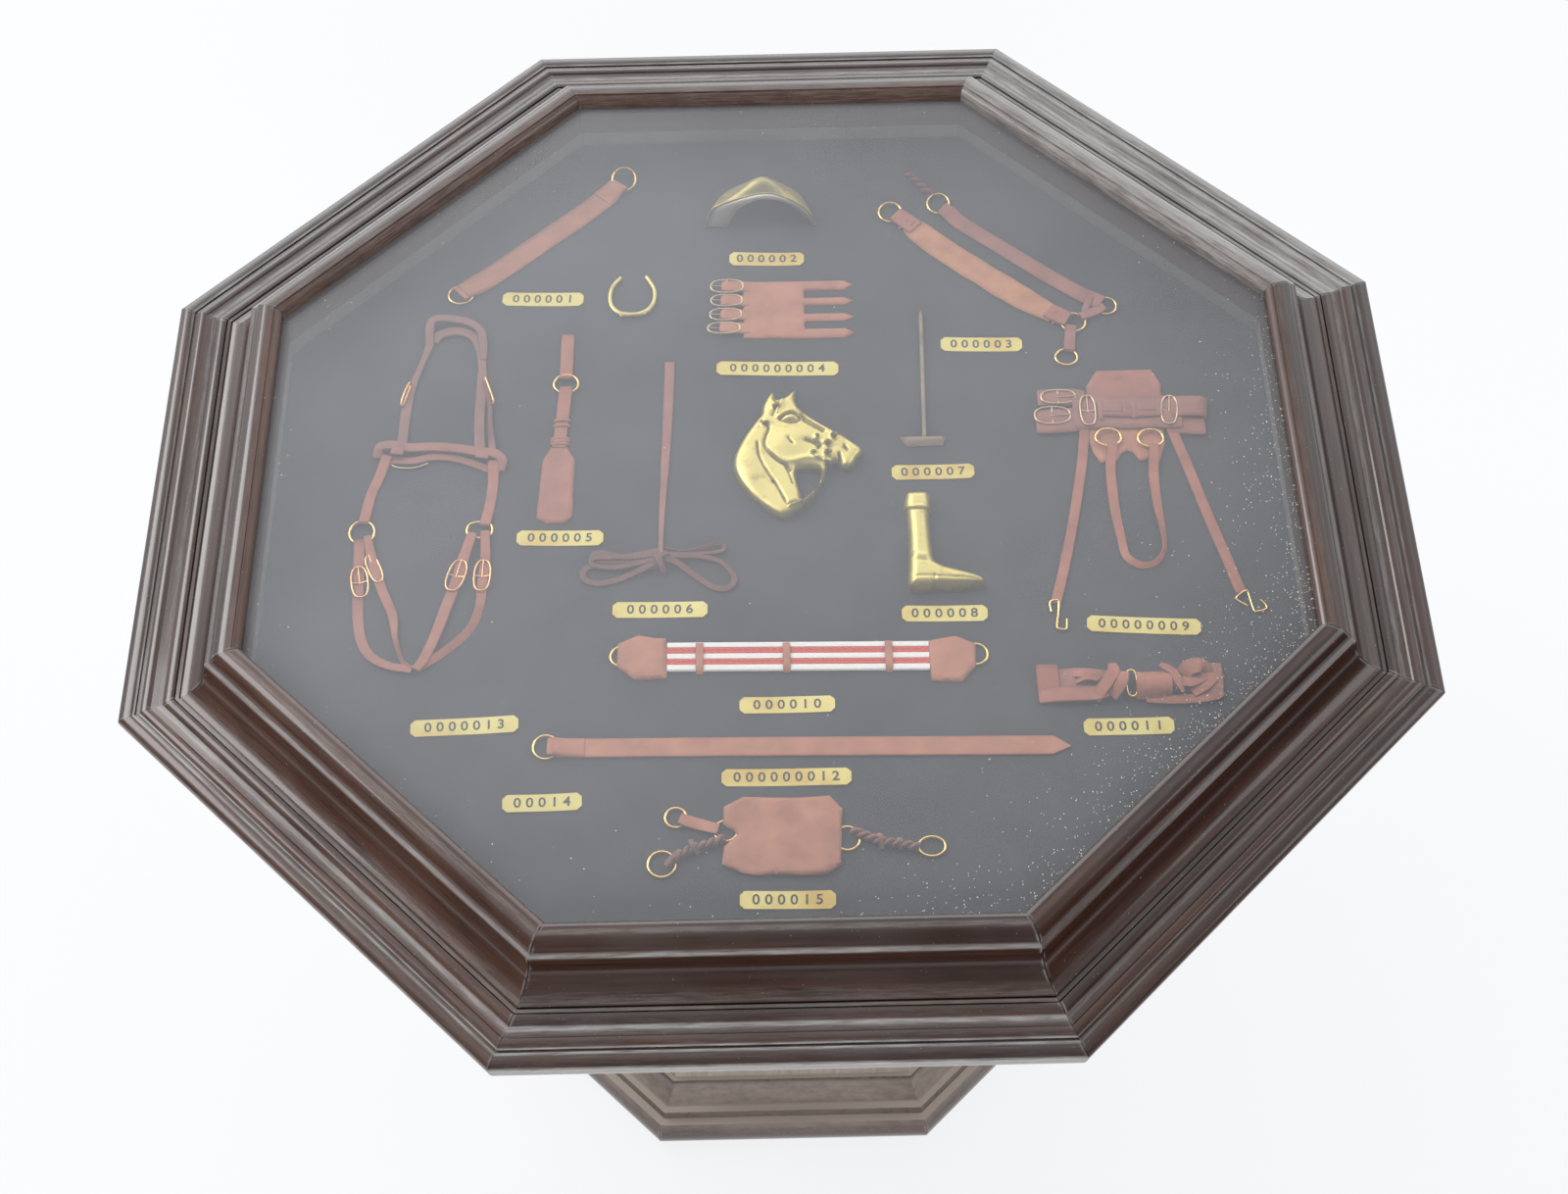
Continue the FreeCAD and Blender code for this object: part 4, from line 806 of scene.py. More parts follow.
# Lace: a flat strap that narrows to a cord and ends in a bow
lace = Shape("lace")
strap(lace, [(2.2, 136, 0.1), (1.4, 100, 0.1, 0.98), (0.6, 75, 0.1, 0.9), (-0.4, 50, 0.2, 0.7),
             (-1.2, 28, 0.3, 0.55), (-1.5, 10, 1.0, 0.45), (-1.4, 2, 3.2, 0.5)], 5.6)
lace.make("lace_strap", MAUVE, "leather", "leather_lace")
bow = Shape("lace")
strap(bow, [(-2, 6, 2.8), (-10, 4.6, 2.0), (-22, 3.4, 1.4), (-33, 6.4, 1.0), (-37, 4.5, 1.0),
            (-35, 1.6, 0.8), (-20, 0.6, 1.2), (-4, 1.5, 2.6)], 3.4, 1.0)
strap(bow, [(-4, 0.6, 2.6), (-20, -2.2, 0.6), (-33, -1.2, 0.4), (-41, -4, 0.5), (-41, -10, 0.3),
            (-33, -12.8, 0.2), (-20, -9.4, 0.4), (-5, -2, 2.4)], 3.6, 1.0)
strap(bow, [(-3, 3.4, 3.2), (-14, 2.2, 2.4), (-28, 2.6, 2.0), (-36.5, 2.2, 1.8, 0.9),
            (-36.6, -1.6, 1.2, 0.9), (-24, -3.4, 1.2), (-5, 0, 2.6)], 3.0, 1.0)
strap(bow, [(0, 7.6, 2.2, 0.7, 50), (10, 6.2, 1.6, 0.6, 60), (20, 8.4, 1.4, 0.6, 65),
            (28.5, 11.6, 1.4, 0.6, 60), (32, 9.2, 1.2, 0.7, 40), (30, 5.6, 0.8, 0.8, 20),
            (16, 4.4, 0.8, 0.8, 10), (2, 3.4, 2.4)], 3.4, 1.0)
strap(bow, [(2, 2.6, 2.8), (18, 2.4, 1.4, 0.8), (29, -0.6, 0.8, 0.8), (35.6, -8, 0.4, 0.9),
            (36.6, -14, 0.3), (32, -18, 0.2), (25, -16.2, 0.2), (16, -8.8, 0.4), (7, -1.6, 2.0),
            (1, 0.4, 3.0)], 3.6, 1.0)
strap(bow, [(-4.6, 3.4, 0.8), (-3.4, 1, 3.8), (-2, -2, 4.4), (-0.6, -5, 3.4), (0.2, -6.6, 0.8)], 3.4, 1.3)
strap(bow, [(-4.8, -3.6, 0.8), (-3.4, -1.2, 3.4), (-0.4, 1.6, 4.8), (2.2, 3.2, 3.4), (3, 4, 1.0)], 2.8, 1.2)
bow.make("lace_bow", DARK, "leather")

# Surcingle: pads, a double belt, side straps and a loop
roller = Shape("roller")
hide_plate(roller, [(-20, 8), (20, 8), (20.6, 24), (16, 34), (-14, 34), (-20.6, 23)], 1.8, wave=0.4)
strap(roller, [(-23.5, -6, 0.8), (-25, -16, 0.2), (-27.4, -32), (-34, -65), (-41, -95),
               (-46.8, -117, 0.3), (-47.8, -121, 1.0, 0.95)], 5.6)
strap(roller, [(22.5, -6, 0.8), (25.4, -18, 0.2), (29.4, -35), (37, -70), (43, -95), (46.6, -112, 0.3),
               (47.8, -117.5, 1.0, 0.95)], 6.0)
strap(roller, [(-10, -18.6, 3.4, 0.9), (-10.6, -24, 2.2), (-12.2, -36, 0.3), (-12.2, -60),
               (-10.6, -80, 0, 0.9), (-8.6, -92, 0.2, 0.8, 20), (-2, -97.6, 0.4, 0.7, 30),
               (5, -96.4, 0.4, 0.6, 40), (10, -90, 0.4, 0.5, 50), (11.4, -80, 0.4, 0.6, 40),
               (10.4, -60, 0.1, 0.9, 10), (10.4, -40, 0.2), (11.6, -27, 2.2), (12, -20.4, 3.4, 0.9)],
      5.6)
roller.make("surcingle_straps", BROWN, "leather", "surcingle")
belt = Shape("roller")
strap(belt, [(-46.6, 15.2, 0.2, 0.9), (-45.6, 15.2, 0.6, 1.0), (-30, 15.4, 0.8, 1.0),
             (-23, 13.6, 1.4, 0.9)], 11.6, 1.5)
strap(belt, [(-48.4, -1.2, 0.2, 0.9), (-47.4, -1.2, 0.6), (-30, -0.6, 0.8), (-22, 1, 1.6)], 16.5, 1.5)
strap(belt, [(-29, 3.4, 1.6, 0.95), (-15, 3.4, 1.9), (0, 3, 2.1), (15, 2.8, 2.1), (29, 2.4, 1.9, 0.98)],
      22.5, 1.5)
strap(belt, [(24, 5.6, 2.6), (32, 5.4, 3.4), (40, 5.2, 3.2), (42.4, 5.0, 1.6)], 14.0, 1.4)
strap(belt, [(22, -4.4, 0.6), (32, -5.4, 0.8), (39.6, -6, 0.8), (40.4, -6, 0.4, 0.9)], 13.6, 1.4)
strap(belt, [(-15, 5.6, 3.7, 0.9), (-8, 5.4, 4.0), (0, 5, 4.0), (10, 4.6, 4.0), (18, 4.6, 3.7, 0.9)],
      13, 1.1)
for east, tall in ((-1.6, 9.5), (3.2, 11.5), (-14.8, 12)):
    strap(belt, [(east, 3.6 - tall / 2, 4.0), (east, 3.6, 5.0), (east + 0.2, 3.6 + tall / 2, 4.0)],
          2.6, 0.8)
for east in (-8.4, 10.4):
    strap(belt, [(east - 5, 5.4, 4.6, 0.9), (east + 5, 5.0, 4.6, 0.9)], 7.5, 0.8)
belt.make("surcingle_belt_hide", MAUVE, "leather")
tan_pad = Shape("roller")
hide_plate(tan_pad, [(19, -4), (18.6, -18), (14.4, -30), (9, -28), (4, -29), (0.8, -23.4),
                     (-2.4, -21.8), (-5.6, -24), (-8, -28.4), (-12.6, -28.6), (-17, -30), (-20.4, -23),
                     (-22, -14), (-21, -4)], 1.4, 0.2, wave=0.5)
tan_pad.make("surcingle_tail_hide", TAN, "leather")

# Guard plate: smooth hide cut to four pointed tabs, four tongues in the buckles
GUARD_TABS = ((14.2, 21), (3, 8.4), (-8.8, -3.4), (-21.2, -14.6))
guard = Shape("guard")
guard_edge = [(-17, 21.4), (-17, -20)]
for low, high in GUARD_TABS[::-1]:
    guard_edge += [(17.4, low), (39.6, low), (44.8, (low + high) / 2), (39.6, high), (17.4, high)]
hide_plate(guard, guard_edge, 1.5, wave=0.3)
for middle, left in ((17.4, -28), (6.7, -28.4), (-3.6, -28.6), (-13.4, -29.2)):
    strap(guard, [(left, middle, 0.9, 0.75), (left + 0.8, middle, 1.6, 0.95), (-22, middle, 1.0),
                  (-14, middle, 0.4)], 7.6, 1.4)
guard.make("guard_plate_hide", TAN, "leather", "guard_plate")

# Leather pad with clipped corners, a tab and twisted ties
pad = Shape("pad")
hide_plate(pad, [(-29, 16.6), (-29.4, 6.6), (-22, 1), (-29, -6), (-30, -15.6), (-20, -20.6),
                 (-12, -22.2), (-4, -21.6), (8, -22.4), (20, -22.4), (27.4, -17), (28, -4), (29, 14),
                 (23, 21.6), (10, 20.8), (-4, 21), (-19.4, 22)], 1.6, 1.0, wave=0.6)
strap(pad, [(-50.6, 10.4, 2.0, 0.9), (-47, 9, 1.2), (-40, 6.8, 0.6), (-34, 4.4, 1.6, 0.95),
            (-31.6, 3.6, 1.8, 0.85)], 6.6, 1.3)
pad.make("leather_pad_hide", TAN, "leather", "leather_pad")
ties = Shape("pad")
twist(ties, [(-56, -14.6, 2.2), (-51, -10.6, 2.0), (-44, -6.6, 1.9), (-36, -4, 1.9), (-29, -1, 1.6)],
      1.35, 8.5)
twist(ties, [(33.4, 1.6, 2.2), (40, -1.6, 2.0), (47, -4.6, 1.9), (56, -6.4, 1.9), (65, -8.6, 2.0)],
      1.35, 8.5)
TIE_WRAPS = [
    [(-57, -16.5, 3.0), (-54.6, -13, 3.4), (-50, -8, 2.4)],
    [(45, -1.2, 1.0), (47, -3.6, 3.9), (47.4, -8.6, 1.0)],
    [(55, -3.6, 1.0), (56.4, -6, 3.9), (56.6, -9, 1.0)],
    [(-45, -1.8, 1.0), (-44, -6, 3.9), (-41.6, -9, 1.0)],
]
for route in TIE_WRAPS:
    strap(ties, route, 2.6, 0.9)
ties.make("leather_pad_ties", WORN, "leather")

# Hobble: a strap loop that lies behind, and its ends knotted and wrapped round a ring
band = Shape("hobble")
strap(band, [(-44, 3.4, 0.1, 0.9), (-32, 3.6, 0.2), (-20, 3.2, 0.6), (-8, 2, 1.0, 0.8)], 14.0, 1.2)
strap(band, [(12, 1.4, 0.8, 0.8), (24, 1.8, 0.5), (34, 2.2, 0.3), (40, 2.2, 0.2)], 14.0, 1.2)
strap(band, [(41.4, -9, 0.6, 0.9), (41.9, 0, 1.4), (42, 8, 1.4), (42, 10.4, 0.8, 0.9)], 9.6, 1.5)
band.make("hobble_loop", MAUVE, "leather")
hobble = Shape("hobble")
strap(hobble, [(-40.8, -8.6, 0.3), (-41.2, 0, 0.8), (-41.4, 9, 1.4, 0.98), (-41.4, 12, 2.6, 0.9)],
      11.6, 1.6)
strap(hobble, [(-46.4, -7, 0.3, 0.8), (-38, -6.2, 1.6), (-28, -6, 1.6), (-18, -6.2, 2.2),
               (-13, -4.6, 2.6)], 8.4, 1.5)
strap(hobble, [(-27.6, 6.8, 0.5, 0.8), (-24, 5.6, 2.8), (-19.4, 4.2, 3.2), (-15.6, 1.6, 2.8, 0.9)],
      5.4, 1.3)
strap(hobble, [(-27.2, 1.6, 1.2), (-22, 2.2, 3.8), (-16.6, 1.0, 4.0)], 2.4, 1.1)
strap(hobble, [(-18.6, -8.6, 1.2), (-14.4, -4, 4.2), (-10.6, 1.4, 4.8), (-8.4, 6, 4.2),
               (-8.4, 11, 2.0, 0.7)], 6.6, 1.5)
strap(hobble, [(-9.6, -7.4, 1.0), (-6.4, -4, 4.2), (-4.4, 0, 4.8), (-3.6, 5, 3.6)], 6.0, 1.5)
for east, lean in ((4.2, 0.3), (7.8, 0.4), (11.4, 0.2), (14.8, 0.6), (17.8, 1.6)):
    strap(hobble, [(east, -8.8 + lean, 0.6), (east + 0.4, -5, 3.8), (east + 0.6, -0.6, 4.8),
                   (east + 0.8, 3.4, 3.6), (east + 1.0, 6.4 - lean, 0.6)], 4.6, 1.3)
strap(hobble, [(15.8, 10, 2.6, 0.6), (18.6, 7.4, 3.6), (22, 3.4, 4.6), (23.4, -2, 4.6),
               (25.4, -7.4, 3.4, 0.3)], 4.4, 1.2)
strap(hobble, [(20, -1, 2.4), (25, -1, 3.6), (30.4, -1.4, 3.2), (37.6, 3, 2.4)], 6.0, 1.4)
strap(hobble, [(27, 4.6, 1.6, 0.9), (30, 6.6, 4.6), (34.6, 7.4, 5.0), (37, 6.4, 3.4, 0.95),
               (37.6, 4, 1.4, 0.9)], 9.6, 1.4)
strap(hobble, [(30, -5.6, 1.4), (36, -2.6, 2.4), (41, 2.4, 2.0), (45.4, 5.4, 1.0)], 8.0, 1.3)
strap(hobble, [(7, -9.4, 0.3, 0.7), (14, -9.6, 0.6), (24, -10, 0.6), (35, -9.4, 0.8),
               (43, -8, 0.8, 0.9), (45.4, -6.2, 1.4, 0.6)], 5.6, 1.4)
hobble.make("hobble_knots", BROWN, "leather", "hobble")

# Web girth: three white tapes, two red cords, keepers and leather ends
WEB_HALF = 66.5
WEB_FALL = -0.0195


def web_line(north, up):
    """A line along the web girth, which lies slightly askew."""
    return [(east, north + WEB_FALL * east, up) for east in (-WEB_HALF, -30, 0, 30, WEB_HALF)]


tape = Shape("web")
for north, wide in ((7.5, 3.0), (0.6, 3.2), (-6.2, 3.2)):
    strap(tape, web_line(north, 0.1), wide, 2.0, wobble=0.02, spacing=0.8)
tape.make("web_tapes", WHITE_TAPE, "webbing", "web_girth_band")
cords = Shape("web")
for north in (5.0, 3.2, -1.9, -3.7):
    twist(cords, web_line(north, 1.1), 0.7, 3.4, 0.55)
cords.make("web_cords", RED_CORD, "webbing")
web_ends = Shape("web")
hide_plate(web_ends, [(-92, 10.6), (-92, -3), (-82.6, -11.4), (-66.5, -10.6), (-66.8, 13.4),
                      (-73, 13.8), (-81.4, 15.8)], 2.2, wave=0.4)
hide_plate(web_ends, [(66, 8.4), (66.8, -15.6), (82.6, -16.6), (90, -7), (90.6, 5.8), (80.4, 11)],
           2.2, wave=0.4)
for east, low, high in ((-50, -7.2, 9.0), (-5.8, -7.2, 8.2), (46, -8.4, 7.8)):
    strap(web_ends, [(east, low - 0.6, 0.2), (east, low + 1, 2.2), (east, 0.5, 2.5),
                     (east, high - 1, 2.2), (east, high + 0.6, 0.2)], 3.8, 0.9)
web_ends.make("web_leathers", TAN, "leather", "web_girth_leathers")


# Wire fittings: gold rings, copper buckles and pale buckles with their prongs
def at(item, east, north):
    """A place of an item, counted from the middle of the table."""
    return PLACES[item][0] + east, PLACES[item][1] + north


def placed(item, route):
    """A route of an item, counted from the middle of the table."""
    return [at(item, east, north) + (up,) for east, north, up in route]


# Each ring: its item, place, width, height and tilt
GOLD_RINGS = [
    ("girth", 45.5, 46, 13.6, 14.6, 4.0), ("girth", -45, -39.6, 13.8, 12.8, 0.6),
    ("breast", -60, 41.2, 13, 14, 1.0), ("breast", -32, 47, 12.6, 14.4, 1.2),
    ("breast", 57.6, -34, 11.4, 11.4, 0.8), ("breast", 38.4, -45.6, 13.4, 12.4, 0.8),
    ("breast", 32.6, -70.6, 12, 11, 0.3), ("headstall", -34, -25.6, 13.2, 14.4, 0.8),
    ("headstall", 28, -25.6, 13.4, 10, 0.8), ("flap", 1.5, 33, 13.4, 12.4, 0.8),
    ("web", -89.4, 3, 12, 12, 0.2), ("web", 90, -0.4, 12.4, 12.4, 0.2),
    ("over", -132.4, 3.4, 12.4, 13.2, 0.8), ("pad", -52.4, 11.4, 10.4, 10.8, 0.2),
    ("pad", -59, -14.4, 13.4, 14, 0.2), ("pad", -28, 3.4, 11.4, 11.4, 0.0),
    ("pad", 31, -2.2, 12, 13, 0.0), ("pad", 71.6, -7.8, 13, 10.6, 0.4),
    ("hobble", 0.4, -0.4, 5.6, 14.4, 2.0), ("roller", -11.8, -14.6, 13.8, 11.4, 0.6),
    ("roller", 10.8, -15.8, 13.6, 11.6, 0.6),
]
RING_LIFTS = {"roller": 2.2, "hobble": 0.9}
gold = Shape("table")
for item, east, north, across, tall, tilt in GOLD_RINGS:
    ring(gold, *at(item, east, north), RING_LIFTS.get(item, 0.05), across, tall, tilt=tilt)
HOOKS = [
    [(-50.6, -126.4, 0.8), (-50.9, -121, 0.8), (-49.6, -119.8, 1.6), (-47, -119.8, 1.8),
     (-46.4, -121.4, 1.6), (-47.2, -128, 0.8), (-48.4, -135.4, 0.8), (-47.2, -137, 0.8),
     (-44.4, -137.4, 0.8), (-43.4, -136, 0.8), (-43, -131, 0.8)],
    [(50, -125.2, 0.8), (45.2, -121.4, 0.8), (45.6, -119.6, 1.4), (49, -117, 1.8), (50.9, -116.4, 1.6),
     (51.6, -119, 1.2), (53, -127.4, 0.8), (54, -128.9, 0.8), (58.6, -128, 0.8), (60, -126, 0.8),
     (57.2, -121.6, 0.8)],
]
for route in HOOKS:
    wire(gold, placed("roller", route), 0.65)
gold.make("wire_rings", GOLD, "wire", "wire_fittings")


def buckle(shape, item, east, north, length, width, turn, up):
    """An oval wire buckle with its prong lying along the strap."""
    place = at(item, east, north)
    ring(shape, *place, up, length, width, turn, radius=BUCKLE_WIRE)
    cos, sin = math.cos(math.radians(turn)), math.sin(math.radians(turn))
    reach = length / 2
    prong = [(-0.1 * reach, up + 0.2), (0.4 * reach, up + 0.7), (reach, up + 2.2 * BUCKLE_WIRE)]
    wire(shape, [(place[0] + x * cos, place[1] + x * sin, z) for x, z in prong], PRONG_WIRE)
    bar = [(-width / 2, up + BUCKLE_WIRE), (0, up - 0.4), (width / 2, up + BUCKLE_WIRE)]
    wire(shape, [(place[0] - y * sin, place[1] + y * cos, z) for y, z in bar], BAR_WIRE)


# Buckles of the headstall, the guard plate and the surcingle: place, length, width and any turn of its own
COPPER_BUCKLES = [(-32.5, -58.5, 19.6, 8.6, 99), (-25.6, -50, 18.6, 6.4, 112), (17.5, -55.6, 19.6, 9.0, 76),
                  (31, -56, 19.4, 8.4, 88)]
GUARD_BUCKLES = [(-26, 17.4, 18.2, 9.4), (-26.2, 6.8, 17.4, 8.4), (-26.8, -3.6, 17.6, 8.6),
                 (-27.8, -13.6, 18, 7.8)]
BELT_BUCKLES = [(-36.4, 15, 18.6, 9.2, 0), (-40.4, 2.2, 19.2, 11.6, 0), (-21.2, 4, 20.6, 8.2, 90),
                (22.6, 3, 19.4, 8.6, 84)]
# Links at the cheeks of the headstall, and the wire under its browband
CHEEK_LINKS = [
    [(-15.2, 75, 3.4), (-17.4, 68, 3.8), (-19, 60, 3.0), (-18, 61, 1.6), (-16.4, 68, 1.2),
     (-15, 74, 1.6)],
    [(26, 77.6, 3.2), (28.6, 70, 3.8), (31.4, 61, 3.0), (30.4, 60.4, 1.4), (27.4, 69, 1.2),
     (25.6, 76.6, 1.6)],
]
BROW_ROUTE = [(-21.5, 19.4, 0.6), (-17, 17.6, 0.7), (-9, 17.4, 0.7), (-2, 20.2, 0.6)]
copper = Shape("table")
for place in COPPER_BUCKLES:
    buckle(copper, "headstall", *place, up=1.9)
for route in CHEEK_LINKS:
    wire(copper, placed("headstall", route), 0.6, closed=True)
copper.make("wire_copper_buckles", COPPER, "wire")
pale = Shape("table")
for place in GUARD_BUCKLES:
    buckle(pale, "guard", *place, turn=180, up=1.6)
for place in BELT_BUCKLES:
    buckle(pale, "roller", *place, up=3.4 if place[-1] else 1.9)
wire(pale, placed("headstall", BROW_ROUTE), 0.6)
pale.make("wire_pale_buckles", PALE, "wire")

# Horseshoe: a cast bar, thicker at the toe
SHOE_BAR = [(-7, 13.8), (-11, 8), (-12.8, 1), (-12, -6.6), (-8.6, -11.6), (-4, -13.6), (0, -13.9),
            (4, -13.4), (8.2, -11.2), (11.2, -6.6), (12.4, -0.6), (11.8, 5), (9.6, 10), (7.2, 14.2)]
bar = smooth([(x, y, 1.5) for x, y in SHOE_BAR], 0.6)
swell = [0.92 + 0.25 * math.exp(-((row[1] + 14) / 6) ** 2) for row in bar]
flattened = [(1.35 * x, 1.5 * y * (1 - 0.2 * max(0, y) ** 6), 0.1) for x, y, _ in wire_section(1.0, 12)]
shoe = Shape("shoe")
sweep(shoe, bar, flattened, widths=swell)
for east, north in ((-5.8, -14.2), (6.4, -13)):
    ring(shoe, east, north, 1.2, 2.0, 1.6)
shoe.make("horseshoe_cast", BRASS, "brass", "brass_horseshoe")

# Cap: a sheet shell with a curved peak, a crease and a raised crown, open to the front
CAP_ROWS = [
    [(-19, 2.3, 0.4), (-16.2, 4.3, 5.8), (-11.4, 6.5, 11.6), (0.8, 8.5, 16), (14.6, 7.5, 13.8),
     (25.4, 4.5, 5.4), (30.4, 2.0, 0.4)],
    [(-32.3, 2.8, 0.4), (-30, 4.6, 6), (-24.5, 7.6, 12.6), (0.8, 11.6, 17.8), (14.7, 9.6, 15.8),
     (26.9, 5, 10.2), (31.6, 2.2, 0.6)],
    [(-31, 8, 0.4), (-28, 11, 6.4), (-14.5, 16, 13.6), (0.8, 19.4, 22.2), (14.5, 16.5, 15.4),
     (26, 12, 8), (30.5, 8, 0.4)],
    [(-25, 18, 0.4), (-22, 24, 4), (-13, 28, 7.4), (0.8, 29, 11.6), (13, 28, 7.8), (22, 24, 4),
     (25, 18, 0.4)],
    [(-18, 25, 0.4), (-14, 28, 0.4), (-8, 30, 0.4), (0.8, 31, 0.4), (8, 30, 0.4), (14, 28, 0.4),
     (18, 25, 0.4)],
]
CAP_STEPS = 6
CAP_WALL = 0.8
cap_lines = [smooth(row, count_each=CAP_STEPS) for row in CAP_ROWS]
cap_grid = [cap_lines[0], (cap_lines[0] + cap_lines[1]) / 2 + np.array((0, 0, 0.4))]
ribs = np.array(cap_lines[1:])
dome = np.array([smooth(ribs[:, index], count_each=CAP_STEPS) for index in range(ribs.shape[1])])
cap_grid += [dome[:, row] for row in range(dome.shape[1])]


def cap_piece(name, rows, material, *node):
    """Some rows of the cap as a shell, whose inner side is dark brass as painted shade."""
    across = len(rows[0])
    faces = []
    for row in range(len(rows) - 1):
        for turn in range(across - 1):
            here, above = row * across + turn, (row + 1) * across + turn
            faces.append((here, here + 1, above + 1, above))
    points = [tuple(point) for row in rows for point in row]
    shell = Shape("cap")
    shell.add(points, faces, [(0, 0)] * len(points))
    shell.make(name, material, "brass", *node, wall=CAP_WALL, lining=SHADED_BRASS_LINING)


cap_piece("cap_peak", cap_grid[:3], SHEET_BRASS, "brass_cap")
cap_piece("cap_crown", cap_grid[2:], CROWN_BRASS)
rim = Shape("cap")
wire(rim, [tuple(point) for point in CAP_ROWS[1]], 0.5)
rim.make("cap_rim", BRASS, "brass")

# Horse head: a cast relief whose lines are raised or sunk along strokes
HORSE_EDGE = [(-11, 41), (-14.6, 36.5), (-17, 30.5), (-17.8, 25), (-21, 20), (-25.5, 12.5),
              (-29.4, 4.5), (-32.2, -3), (-33, -10), (-31.6, -17), (-28.4, -24), (-23.6, -31),
              (-17, -38), (-10, -43.6), (-6, -44.4), (-1, -41.6), (5, -36.6), (11, -28.4),
              (15.4, -19.4), (16.8, -12.4), (18.6, -10.2), (22.8, -8.8), (24.8, -12), (27.4, -13.2),
              (30.6, -11.2), (33, -7), (35.8, -2.6), (35.6, 0.4), (31, 5), (24, 11), (14, 18.4),
              (5.4, 26), (1.8, 31), (0.8, 36.6), (1.4, 42.4), (-1.2, 40.4), (-4, 37.4), (-8, 35.4),
              (-10, 36.6)]
HORSE_GAP = [(0.6, -13.6), (5, -12.4), (10, -12.6), (13.2, -14), (13.8, -17), (11.6, -24), (7.6, -29.6),
             (3.2, -33.6), (2.2, -28), (0.6, -20)]
# Each stroke: how high, how wide, and its route
HORSE_STROKES = [
    (-1.5, 0.9, [(-17.4, 19), (-14, 14.6), (-15.8, 8), (-16.4, 3), (-14.4, -2), (-9.4, -8.2),
                 (-5, -11.6), (-2.6, -15)]),
    (0.9, 1.6, [(-12.6, -2), (-9, -6), (-5.4, -9), (0, -8.6), (6, -7), (12, -7.6)]),
    (-1.3, 0.8, [(-20, 4), (-19.2, -5), (-15, -15.4), (-10, -25), (-5.4, -36)]),
    (-1.0, 0.7, [(-4.8, -13), (-3, -18), (-1.4, -23.6)]),
    (1.0, 0.9, [(-8.4, 21.6), (-5.4, 24), (-1, 25), (3, 23.6), (4.4, 21)]),
    (-1.2, 0.8, [(-8, 20), (-4, 22.8), (0, 23.2), (3.4, 20.6)]),
    (-0.9, 0.8, [(-7.4, 19.4), (-3, 17.4), (1, 17.6), (3.6, 20)]),
    (-1.0, 1.0, [(5, 19), (10, 15), (15.4, 11)]),
    (0.9, 1.0, [(4, 22.6), (12, 16.4), (22, 8.6)]),
    (-1.4, 1.2, [(6, 5.4), (10, 3.6), (13, 1.2)]),
    (-1.2, 1.0, [(11.4, 4), (13.6, 2.6), (12.6, -0.4)]),
    (-1.6, 0.9, [(26.6, 0.6), (27.8, -1.8)]),
    (-1.8, 0.9, [(23.6, -4.6), (24, -9.4)]),
    (-1.0, 1.0, [(-10.8, 35), (-8.6, 31), (-10, 26.6), (-11.6, 23)]),
    (1.2, 1.4, [(-6.4, 33), (-8, 28.6), (-9.4, 25)]),
    (-1.0, 1.0, [(-3.4, 6.4), (-1.2, 3)]),
    (1.2, 0.9, [(16.6, -10.4), (15.6, -17), (12.4, -25.6), (7.4, -31.6), (1.6, -36.4), (-3, -38.6)]),
    (-0.8, 0.8, [(-4.6, -37.6), (-1, -36.2), (2.4, -34.4)]),
    (1.4, 1.0, [(9, -4.6), (13.6, -8), (17.4, -10.4)]),
    (-1.4, 0.7, [(-12, -22), (-12, -22.4)]),
]
HORSE_STUDS = [(12.4, 7.6, 0.9), (21.4, 7.2, 1.4), (18, 2.4, 1.5), (17.8, -4, 1.5), (10, -3.8, 1.1),
               (-15.4, 17, 1.3), (17.4, -10.4, 1.2), (-9.6, 28.4, 1.4)]
HORSE_EYE = (-2, 21)


def horse_height(points, edge):
    """A rounded casting with a full cheek and neck, its strokes, studs and eye."""
    crown = 3.6 * (1 - np.exp(-edge / 1.1)) + 2.4
    cheek = 1.1 * np.exp(-(((points[:, 0] + 5) / 9) ** 2 + ((points[:, 1] - 5) / 9) ** 2))
    neck = 0.8 * np.exp(-(((points[:, 0] + 24) / 6) ** 2 + ((points[:, 1] + 10) / 18) ** 2))
    rise = strokes_rise(points, HORSE_STROKES)
    for east, north, wide in HORSE_STUDS:
        gap = np.hypot(points[:, 0] - east, points[:, 1] - north)
        rise += 0.8 * np.exp(-((gap - 1.5 * wide) / 0.5) ** 2) - 1.5 * np.exp(-(gap / wide) ** 4)
    eye = np.hypot((points[:, 0] - HORSE_EYE[0]) / 3.4, (points[:, 1] - HORSE_EYE[1]) / 1.9)
    rise += 1.2 * np.exp(-eye ** 4)
    return np.minimum(crown + cheek + neck + rise * np.minimum(edge / 1.2, 1), 9.5)


def horse_hollow(points, edge):
    """Grooves, pits and the foot of the casting are the dull places."""
    dull = 0.5 * np.exp(-edge / 0.35)
    for high, wide, route in HORSE_STROKES:
        if high < 0:
            dull = np.maximum(dull, np.exp(-(distance(points, smooth(route, 1.0)) / (0.8 * wide)) ** 2))
    for east, north, wide in HORSE_STUDS:
        gap = np.hypot(points[:, 0] - east, points[:, 1] - north)
        dull = np.maximum(dull, np.exp(-(gap / wide) ** 4))
    return dull


horse = Shape("horse")
relief(horse, smooth(HORSE_EDGE, 0.8, True), horse_height, 0.65, smooth(HORSE_GAP, 0.8, True),
       hollow=horse_hollow)
horse.make("horse_head_cast", BRASS, "brass", "brass_horse_head")

